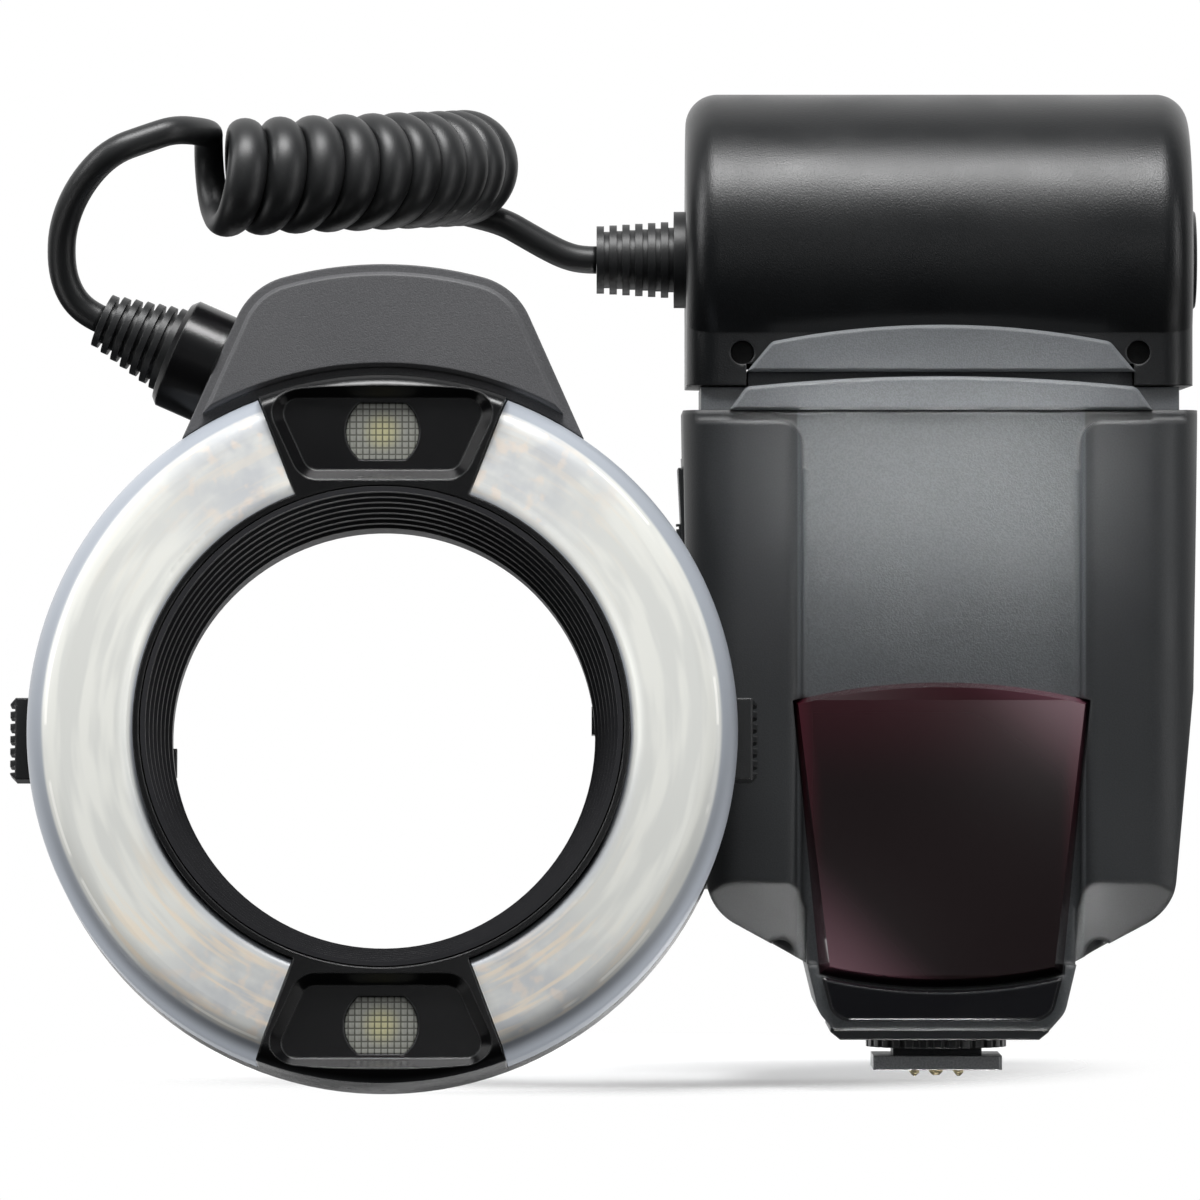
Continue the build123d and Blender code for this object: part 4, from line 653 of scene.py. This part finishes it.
# %% [markdown]
# ## Plain finishes
# One row for each finish: colour, roughness, the size of the grain and its depth. The blacks
# differ on the real object too. The ring's segments are the deepest and smoothest, the hump
# over them is a dull grey, and the top housing is satin, so it shows one broad soft highlight.

# %% Plain finishes
finish_of = {
    "body_plastic": moulded("body_plastic", (0.024, 0.0262, 0.028), 0.45, 0.00024, 0.45),
    "ring_plastic": moulded("ring_plastic", (0.0035, 0.0035, 0.0038), 0.24, 0.00018, 0.12,
                            gloss=0.36),
    "liner_plastic": moulded("liner_plastic", (0.0065, 0.0065, 0.0085), 0.50, 0.0002, 0.3,
                             0.00003, 0.4),
    "hump_plastic": moulded("hump_plastic", (0.072, 0.072, 0.076), 0.50, 0.0002, 0.55),
    "foot_plastic": moulded("foot_plastic", (0.0065, 0.007, 0.0075), 0.34, 0.00025, 0.2),
    "key_rubber": moulded("key_rubber", (0.046, 0.047, 0.049), 0.60, 0.0002, 0.3),
    "cord_rubber": moulded("cord_rubber", (0.0095, 0.010, 0.0105), 0.42, 0.00018, 0.2, 0.0001),
    "chamber_plastic": moulded("chamber_plastic", (0.02, 0.02, 0.022), 0.5),
    "transformer": moulded("transformer", (0.35, 0.24, 0.05), 0.5, 0.0004, 0.3),
    "capacitor_sleeve": moulded("capacitor_sleeve", (0.02, 0.03, 0.08), 0.25, 0.0004, 0.1),
    "lamp_chip": moulded("lamp_chip", (0.75, 0.62, 0.12), 0.4),
    "contact_metal": metal("contact_metal", (0.80, 0.68, 0.42), 0.28),
    "steel": metal("steel", (0.55, 0.55, 0.56), 0.3),
    "foot_metal": metal("foot_metal", (0.30, 0.305, 0.31), 0.35, 0.0003, 0.3),
    "reflector_sheet": metal("reflector_sheet", (0.86, 0.86, 0.85), 0.25),
}
chin_gloss = moulded("chin_gloss", (0.004, 0.004, 0.005), 0.10, 0.0006, 0.02, 0.0005, coat=0.6)
# Painted light: the collars' paler grey stands for the sheen of light from above on their upward
# faces.
collar_painted_light = moulded("collar_painted_light", (0.10, 0.106, 0.112), 0.42, 0.00022, 0.3)
head_satin = moulded("head_satin", (0.0045, 0.005, 0.0056), 0.34, 0.00024, 0.35, gloss=0.4)
black_steel = metal("black_steel", (0.012, 0.012, 0.012), 0.45)
dark_steel = metal("dark_steel", (0.16, 0.16, 0.165), 0.38)
print("plain finishes:", ", ".join(finish_of))


# %% [markdown]
# ## Red window
# The window is a polished sheet of deep red acrylic. Its middle is near black. Its sides and top
# are painted light, a paler wine red for light that comes out through the sheet, and its two
# corners carry painted reflections, wine red glints. A clear coat over a satin base gives the
# polish, and the masks are ranges of x, z and x + z.

# %% Red window
def make_red_window():
    """Deep red acrylic: near black in the middle, with painted light at its sides and top and
    painted reflections at its corners, all wine red.

    The sides are a smooth step of |x|, the top a weaker one of z, and the two corners lie
    where x + z is large or small.
    """
    material, tree, shader = new_material("red_window")
    # Sides and top: painted light, a paler wine red where light comes out through the sheet.
    middle_colour, side_colour = (0.0055, 0.0016, 0.0021, 1), (0.040, 0.0055, 0.0105, 1)
    # Corners: painted reflections, two wine red glints.
    painted_glint_colour = (0.105, 0.042, 0.058, 1)
    place = object_place(tree)
    x, _, z = add_node(tree, "ShaderNodeSeparateXYZ", Vector=place).outputs
    # Masks for the painted light at the sides and top and the painted glints at the corners.
    side = in_range(tree, calculate(tree, "ABSOLUTE", x), 0.0165, 0.0205)
    top = calculate(tree, "MULTIPLY", in_range(tree, z, 0.040, 0.056), 0.55)
    diagonal = calculate(tree, "ADD", x, z)
    corners = calculate(tree, "MAXIMUM", in_range(tree, diagonal, 0.056, 0.078),
                        in_range(tree, diagonal, 0.016, -0.004))
    red = mix_colour(tree, calculate(tree, "MAXIMUM", side, top), middle_colour, side_colour)
    haze = noise(tree, 60.0, Vector=place, Detail=1.0)
    tree.links.new(mix_colour(tree, corners, red, painted_glint_colour), shader.inputs["Base Color"])
    tree.links.new(in_range(tree, haze, 0.3, 0.7, 0.50, 0.60), shader.inputs["Roughness"])
    shader.inputs["Specular IOR Level"].default_value = 0.05
    shader.inputs["Coat Weight"].default_value = 1.0
    shader.inputs["Coat Roughness"].default_value = 0.085
    return material


finish_of["red_window"] = make_red_window()
print("finish:", finish_of["red_window"].name)


# %% [markdown]
# ## Streaks round the ring
# The tubes and reflectors behind the frosted plastic show as soft streaks along the arc. Noise
# read at (a * radius, b * cos(angle), b * sin(angle)) changes fast across the ring and slowly
# along it. The cosine and sine close the pattern where the angle jumps from 180 to -180 degrees.

# %% Streaks round the ring
def both(tree, *masks):
    """The product of two masks or more."""
    product = masks[0]
    for mask in masks[1:]:
        product = calculate(tree, "MULTIPLY", product, mask)
    return product


def streaks(tree, radius, level, rise, across, along, detail):
    """Noise stretched along the arc; level and rise are the cosine and sine of the angle."""
    where = add_node(tree, "ShaderNodeCombineXYZ", X=calculate(tree, "MULTIPLY", radius, across),
                     Y=calculate(tree, "MULTIPLY", level, along),
                     Z=calculate(tree, "MULTIPLY", rise, along)).outputs[0]
    return noise(tree, 1.0, Vector=where, Detail=detail)


soft_streak, fine_streak = (420.0, 2.2, 2.0), (800.0, 3.0, 2.0)
print("streaks: about", round(1000 / soft_streak[0], 1), "and", round(1000 / fine_streak[0], 1),
      "mm across")


# %% [markdown]
# ## Colours of the diffusers
# From the photograph: a cream field with pale streaks, a bluish border that no light reaches,
# greyer ends with a few warm patches where the tubes' electrodes sit, and a thin bright line
# in dashes, a painted reflection of the reflector's rim behind the plastic.

# %% Colours of the diffusers
diffuser_shade = {
    "border": (0.345, 0.37, 0.41, 1), "field": (0.635, 0.64, 0.61, 1),
    "pale streak": (0.78, 0.78, 0.73, 1), "grey end": (0.46, 0.475, 0.50, 1),
    "warm streak": (0.83, 0.69, 0.52, 1), "warm patch": (0.74, 0.63, 0.53, 1),
    # Inner edge: painted shade. Bright line: painted reflection of the reflector's rim.
    "bright line": (0.93, 0.92, 0.87, 1), "inner edge": (0.30, 0.32, 0.35, 1),
}


def diffuser_colour(tree, radius, level, height, rise, lower):
    """The diffuser's colour in layers, and the soft streaks for its ripple.

    Each mask is a product of smooth steps: of the radius for the field inside the border and
    for the bright line, of the rise for the ends, and of noise for streaks, patches and dashes.
    """
    place = object_place(tree)
    cloud = noise(tree, 190.0, Vector=place, Detail=3.0)
    patch = noise(tree, 420.0, Vector=place, Detail=2.0)
    soft = streaks(tree, radius, level, height, *soft_streak)
    fine = streaks(tree, radius, level, height, *fine_streak)
    inside = both(tree, in_range(tree, radius, 0.0350, 0.0356),
                  in_range(tree, radius, 0.0479, 0.0474))
    ends = both(tree, in_range(tree, rise, 0.62, 1.10), inside)
    near_ends = both(tree, in_range(tree, rise, 0.35, 0.75), inside)
    pale = both(tree, in_range(tree, soft, 0.42, 0.62), inside, 0.7)
    grey = both(tree, ends, in_range(tree, cloud, 0.36, 0.62, 0.35, 0.85))
    warm = both(tree, in_range(tree, fine, 0.50, 0.66), near_ends,
                in_range(tree, lower, 0, 1, 0.2, 0.6))
    mottled = both(tree, in_range(tree, patch, 0.52, 0.68), ends, 0.55)
    shown = mix_colour(tree, inside, diffuser_shade["border"], diffuser_shade["field"])
    for mask, word in ((pale, "pale streak"), (grey, "grey end"), (warm, "warm streak"),
                       (mottled, "warm patch")):
        shown = mix_colour(tree, mask, shown, diffuser_shade[word])
    # The dashed bright line is a painted reflection of the reflector's rim.
    from_line = calculate(tree, "ABSOLUTE", calculate(tree, "SUBTRACT", radius, 0.0471))
    level_place = add_node(tree, "ShaderNodeCombineXYZ", X=level, Y=height).outputs[0]
    dashes = noise(tree, 5.0, Vector=level_place, Detail=0.0)
    line = both(tree, in_range(tree, from_line, 0.00024, 0.00010),
                in_range(tree, dashes, 0.50, 0.53), 0.8)
    return mix_colour(tree, line, shown, diffuser_shade["bright line"]), soft


print("colours:", ", ".join(diffuser_shade))


# %% [markdown]
# ## Diffusers
# The frosted acrylic passes light on inside itself, so on the real ring even the edges that
# turn away from the lamp stay bright. True scattering takes long to render. Instead, a weak
# glow lifts the two edges that face down, and painted shade, a greyer tone, calms the inner
# edge that faces up.

# %% Diffusers
def make_diffuser():
    """Frosted white acrylic, with the reflector and the tube showing softly through it.

    The glow is the plastic's own colour where the inner edge lies in the upper half, or the
    outer edge in the lower half, and black elsewhere.
    """
    material, tree, shader = new_material("diffuser_plastic")
    ring = use_group(tree, ring_group)
    radius, angle, rise = (ring[label] for label in ("Radius", "Angle", "Rise"))
    level = calculate(tree, "COSINE", angle)
    height = calculate(tree, "SINE", angle)
    lower = in_range(tree, height, 0.1, -0.6)
    upper = in_range(tree, height, -0.55, 0.35)
    inner_edge = in_range(tree, radius, 0.0373, 0.0357)
    outer_edge = in_range(tree, radius, 0.0480, 0.0497)
    shown, soft = diffuser_colour(tree, radius, level, height, rise, lower)
    # Painted shade: the inner edge of the lower half, which faces up, turns greyer.
    shown = mix_colour(tree, both(tree, inner_edge, lower, 0.8), shown,
                       diffuser_shade["inner edge"])
    dim = calculate(tree, "MAXIMUM", both(tree, inner_edge, upper), both(tree, outer_edge, lower))
    glow = mix_colour(tree, dim, black, shown)
    ripple = add_node(tree, "ShaderNodeBump", Strength=0.08, Distance=0.0002, Height=soft)
    tree.links.new(shown, shader.inputs["Base Color"])
    tree.links.new(glow, shader.inputs["Emission Color"])
    tree.links.new(ripple.outputs[0], shader.inputs["Normal"])
    shader.inputs["Emission Strength"].default_value = 0.62
    shader.inputs["Roughness"].default_value = 0.34
    shader.inputs["Coat Weight"].default_value = 0.15
    shader.inputs["Coat Roughness"].default_value = 0.15
    return material


finish_of["diffuser_plastic"] = make_diffuser()
print("finish:", finish_of["diffuser_plastic"].name)


# %% [markdown]
# ## Clear parts
# The display's window, the flash tubes and the assist lens let light through. Transmission in
# the shader does that, and a touch of noise in the roughness keeps the surface from looking
# computed.

# %% Clear parts
def make_glass(name, colour, roughness, through=1.0):
    """Clear glass or plastic; noise raises its roughness by up to 0.06."""
    material, tree, shader = new_material(name)
    haze = noise(tree, 900.0, Vector=object_place(tree))
    rough = in_range(tree, haze, 0.3, 0.7, roughness, roughness + 0.06)
    tree.links.new(rough, shader.inputs["Roughness"])
    shader.inputs["Base Color"].default_value = (*colour, 1)
    shader.inputs["Transmission Weight"].default_value = through
    return material


finish_of["tube_glass"] = make_glass("tube_glass", (0.93, 0.95, 0.97), 0.02)
finish_of["display_window"] = make_glass("display_window", (0.52, 0.57, 0.56), 0.02)
finish_of["assist_lens"] = make_glass("assist_lens", (0.7, 0.05, 0.05), 0.05, 0.6)
print("finishes:", len(finish_of))


# %% [markdown]
# ## Circuit board, cells and display
# These show through windows, or when the battery door stands open. A brick texture does for
# the tracks of a board, a range of height for the copper shoulder of a cell, and a fine
# chequer for the dots of a display at rest.

# %% Circuit board, cells and display
def make_board():
    """Green solder mask with paler tracks."""
    material, tree, shader = new_material("circuit_board")
    tracks = add_node(tree, "ShaderNodeTexBrick", Vector=object_place(tree), Scale=320.0,
                      Color1=(0.01, 0.09, 0.035, 1), Color2=(0.012, 0.075, 0.03, 1),
                      Mortar=(0.03, 0.17, 0.07, 1))
    tree.links.new(tracks.outputs["Color"], shader.inputs["Base Color"])
    shader.inputs["Roughness"].default_value = 0.35
    return material


def make_cell():
    """Plain shrink sleeve on a battery cell: dark, and the colour of copper above 59.5 mm."""
    material, tree, shader = new_material("cell_case")
    z = add_node(tree, "ShaderNodeSeparateXYZ", Vector=object_place(tree)).outputs["Z"]
    shoulder = in_range(tree, z, 0.0595, 0.0600)
    colour = mix_colour(tree, shoulder, (0.03, 0.035, 0.04, 1), (0.55, 0.27, 0.12, 1))
    tree.links.new(colour, shader.inputs["Base Color"])
    tree.links.new(calculate(tree, "MULTIPLY", shoulder, 0.8), shader.inputs["Metallic"])
    shader.inputs["Roughness"].default_value = 0.25
    return material


def make_display():
    """Liquid crystal panel at rest: grey green with a faint grid of cells."""
    material, tree, shader = new_material("display_panel")
    cells = add_node(tree, "ShaderNodeTexChecker", Vector=object_place(tree), Scale=2400.0,
                     Color1=(0.20, 0.24, 0.19, 1), Color2=(0.22, 0.26, 0.21, 1))
    tree.links.new(cells.outputs["Color"], shader.inputs["Base Color"])
    shader.inputs["Roughness"].default_value = 0.3
    return material


finish_of["circuit_board"] = make_board()
finish_of["cell_case"] = make_cell()
finish_of["display_panel"] = make_display()
print("finishes:", len(finish_of))


# %% [markdown]
# ## Lamp lenses
# The prisms are too fine to show as shapes from the camera's distance, so the finish also draws
# a grid of dark lines in the same pitch. Behind the middle of the lens, the lamp's yellow chip
# glows through.

# %% Finish of the lamp lenses
def make_lamp_lens():
    """Clear plastic with a milky grid, and the lamp's chip showing through its middle.

    The lines lie where |2 * fract(place / pitch) - 1| is near 1, across or up, and the yellow
    lies within 3 mm of the lens's middle.
    """
    material, tree, shader = new_material("lamp_window")
    ring = use_group(tree, ring_group)
    from_middle = []
    for label in ("Across", "Up"):
        cell = calculate(tree, "FRACT",
                         calculate(tree, "MULTIPLY", ring[label], 1 / (prism_pitch * mm)))
        from_middle.append(calculate(tree, "ABSOLUTE",
                                     calculate(tree, "MULTIPLY_ADD", cell, 2.0, -1.0)))
    line = in_range(tree, calculate(tree, "MAXIMUM", *from_middle), 0.68, 0.9)
    up = calculate(tree, "SUBTRACT", calculate(tree, "ABSOLUTE", ring["Up"]), lens_place * mm)
    place = add_node(tree, "ShaderNodeCombineXYZ", X=ring["Across"], Y=up).outputs[0]
    far = vector_maths(tree, "LENGTH", place)["Value"]
    centre = in_range(tree, far, 0.0034, 0.0006)
    colour = mix_colour(tree, centre, (0.34, 0.345, 0.31, 1), (0.54, 0.52, 0.31, 1))
    colour = mix_colour(tree, calculate(tree, "MULTIPLY", line, 0.8), colour,
                        (0.055, 0.055, 0.045, 1))
    tree.links.new(colour, shader.inputs["Base Color"])
    shader.inputs["Roughness"].default_value = 0.14
    shader.inputs["Transmission Weight"].default_value = 0.35
    return material


finish_of["lamp_window"] = make_lamp_lens()
print("finish:", finish_of["lamp_window"].name)

# %% [markdown]
# ## Dress every piece
# The record names a material slot for each solid, and most solids take the finish of their
# slot. A few share a slot with a piece that looks different in the photograph, such as the top
# housing and the control unit, so they are named one by one.

# %% Dress every piece
slot_of = {row["node"]: row["material_slot"] for row in frame["record"]["subparts"]}
own_finish = {
    "chin_bezel": chin_gloss, "housing_screws": black_steel, "ring_screws": dark_steel,
    "neck_lower_collar": collar_painted_light, "neck_upper_collar": collar_painted_light,
    "body_front_shell": front_plastic, "head_front_shell": head_satin,
    "head_rear_shell": head_satin, "head_end_cap": head_satin,
    "ring_top_housing": finish_of["ring_plastic"],
}
for name, piece in nodes.items():
    piece.data.materials.clear()
    piece.data.materials.append(own_finish.get(name, finish_of[slot_of[name]]))
curly_cord.data.materials.append(finish_of["cord_rubber"])
for lens in lamp_lenses.values():
    lens.data.materials.append(finish_of["lamp_window"])
print("finishes:", len(finish_of), "dressed nodes:", len(nodes))

# %% [markdown]
# ## Facts of the cord
# The photograph shows the cord from end to end, and both ends go into strain reliefs.

# %% [markdown]
# ## White studio
# The background is plain white for the camera and behind clear parts. The rest of the light
# sees a room: white behind the object, grey in front, darker low in front, because dark
# plastic shows in its sheen whatever stands around it.

# %% White studio
world = bpy.data.worlds.new("white_studio")
bpy.context.scene.world = world
world.use_nodes = True
sky = world.node_tree
sky.nodes.clear()
towards = add_node(sky, "ShaderNodeSeparateXYZ", Vector=add_node(
    sky, "ShaderNodeTexCoord").outputs["Generated"]).outputs
behind = calculate(sky, "MULTIPLY", in_range(sky, towards["Y"], 0.05, 0.55),
                   in_range(sky, towards["Z"], -0.32, -0.04))
low_front = calculate(sky, "MULTIPLY", in_range(sky, towards["Z"], 0.0, -0.35),
                      in_range(sky, towards["Y"], 0.15, -0.15))
above = in_range(sky, towards["Z"], 0.1, 0.6)
front = mix_colour(sky, above, (0.045, 0.047, 0.05, 1), (0.18, 0.19, 0.20, 1))
front = mix_colour(sky, low_front, front, (0.01, 0.01, 0.01, 1))
room_colour = mix_colour(sky, behind, front, white)
room = add_node(sky, "ShaderNodeBackground", Color=room_colour, Strength=1.0).outputs[0]
backdrop = add_node(sky, "ShaderNodeBackground", Color=white, Strength=1.0).outputs[0]
rays = add_node(sky, "ShaderNodeLightPath").outputs
seen = calculate(sky, "MAXIMUM", rays["Is Camera Ray"], rays["Is Transmission Ray"])
chosen = sky.nodes.new("ShaderNodeMixShader")
for socket, value in zip(chosen.inputs, (seen, room, backdrop)):
    fill(sky, socket, value)
add_node(sky, "ShaderNodeOutputWorld", Surface=chosen.outputs[0])
print("world nodes:", len(sky.nodes))


# %% [markdown]
# ## Softboxes
# One large soft light above the front makes the band on the top housing, and a tall box on
# each side draws the edges. A gridded box lights the panel, two white cards near the camera are
# what the red window mirrors in its corners, and weak light from below stands for the pale
# table that lifts the lower chamfers.

# %% Softboxes
def soft_light(name, place, aim, size, power, spread=180):
    """A rectangular softbox that faces a point; a small spread in degrees makes a gridded box.

    The lift is atan2(z, level distance) and the heading atan2(y, x) of the way to the point. A
    light shines down its own -z, so the lift starts from a quarter turn about x.
    """
    data = bpy.data.lights.new(name, "AREA")
    data.shape = "RECTANGLE"
    data.size, data.size_y = size
    data.energy = power
    data.spread = math.radians(spread)
    light = bpy.data.objects.new(name, data)
    x, y, z = np.array(aim) - np.array(place)
    light.location = place
    light.rotation_euler = (math.pi / 2 + math.atan2(z, math.hypot(x, y)), 0,
                            math.atan2(y, x) - math.pi / 2)
    bpy.context.scene.collection.objects.link(light)
    light.visible_camera = False


middle = (-0.0488, 0.0, 0.07)
card, low_box = (0.20, 0.20), (0.25, 0.25)
soft_light("top_softbox", (-0.08, -0.42, 0.92), middle, (0.60, 0.27), 12.6)
soft_light("left_strip", (-0.75, -0.28, 0.48), middle, (0.16, 0.6), 3.2)
soft_light("right_strip", (0.80, -0.50, 0.25), middle, (0.12, 0.7), 1.8)
soft_light("panel_grid", (0.0, -0.11, 0.135), (0.0, -0.0246, 0.083), (0.05, 0.02), 0.0082, 22)
soft_light("upper_card", (0.168, -1.53, 0.398), middle, card, 0.42)
soft_light("lower_card", (-0.076, -1.53, 0.132), middle, card, 0.20)
soft_light("table_card", (0.0, -0.06, -0.16), (0.0, -0.025, 0.022), (0.03, 0.03), 0.015, 40)
soft_light("low_left", (-0.60, -0.30, -0.28), middle, low_box, 0.5)
soft_light("low_right", (0.55, -0.30, -0.28), middle, low_box, 0.5)
print("lights:", len(bpy.data.lights))

# %% [markdown]
# ## White table
# A white sheet of paper keeps the object's shadow. Its edge would show as a line against the
# white background, so the sheet fades out round the object, and it is clear from below.

# %% White table
floor_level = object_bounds()[0][2] - 0.0003
floor_reach = 0.30
fade_centre, fade_squeeze = (middle[0], 0.07, floor_level), (1.0, 0.75, 1.0)
fade_end, fade_start = 0.088, 0.045
floor_x, floor_y = np.meshgrid([-floor_reach, floor_reach], [-floor_reach, floor_reach])
floor_points = np.stack([floor_x + middle[0], floor_y, np.full((2, 2), floor_level)], -1)
floor = new_piece("floor", floor_points, list(grid_faces(2, 2)), smooth=False)
paper, paper_tree, paper_shader = new_material("white_table")
centred = vector_maths(paper_tree, "SUBTRACT", object_place(paper_tree), fade_centre)[0]
squeezed = vector_maths(paper_tree, "MULTIPLY", centred, fade_squeeze)[0]
away = vector_maths(paper_tree, "LENGTH", squeezed)["Value"]
below = add_node(paper_tree, "ShaderNodeNewGeometry").outputs["Backfacing"]
from_above = calculate(paper_tree, "SUBTRACT", 1.0, below)
cover = calculate(paper_tree, "MULTIPLY", in_range(paper_tree, away, fade_end, fade_start),
                  from_above)
paper_tree.links.new(cover, paper_shader.inputs["Alpha"])
paper_shader.inputs["Base Color"].default_value = (0.96, 0.96, 0.96, 1)
paper_shader.inputs["Roughness"].default_value = 0.6
paper_shader.inputs["Specular IOR Level"].default_value = 0.2
floor.data.materials.append(paper)
print("table at z", round(floor_level / mm, 2), "mm")
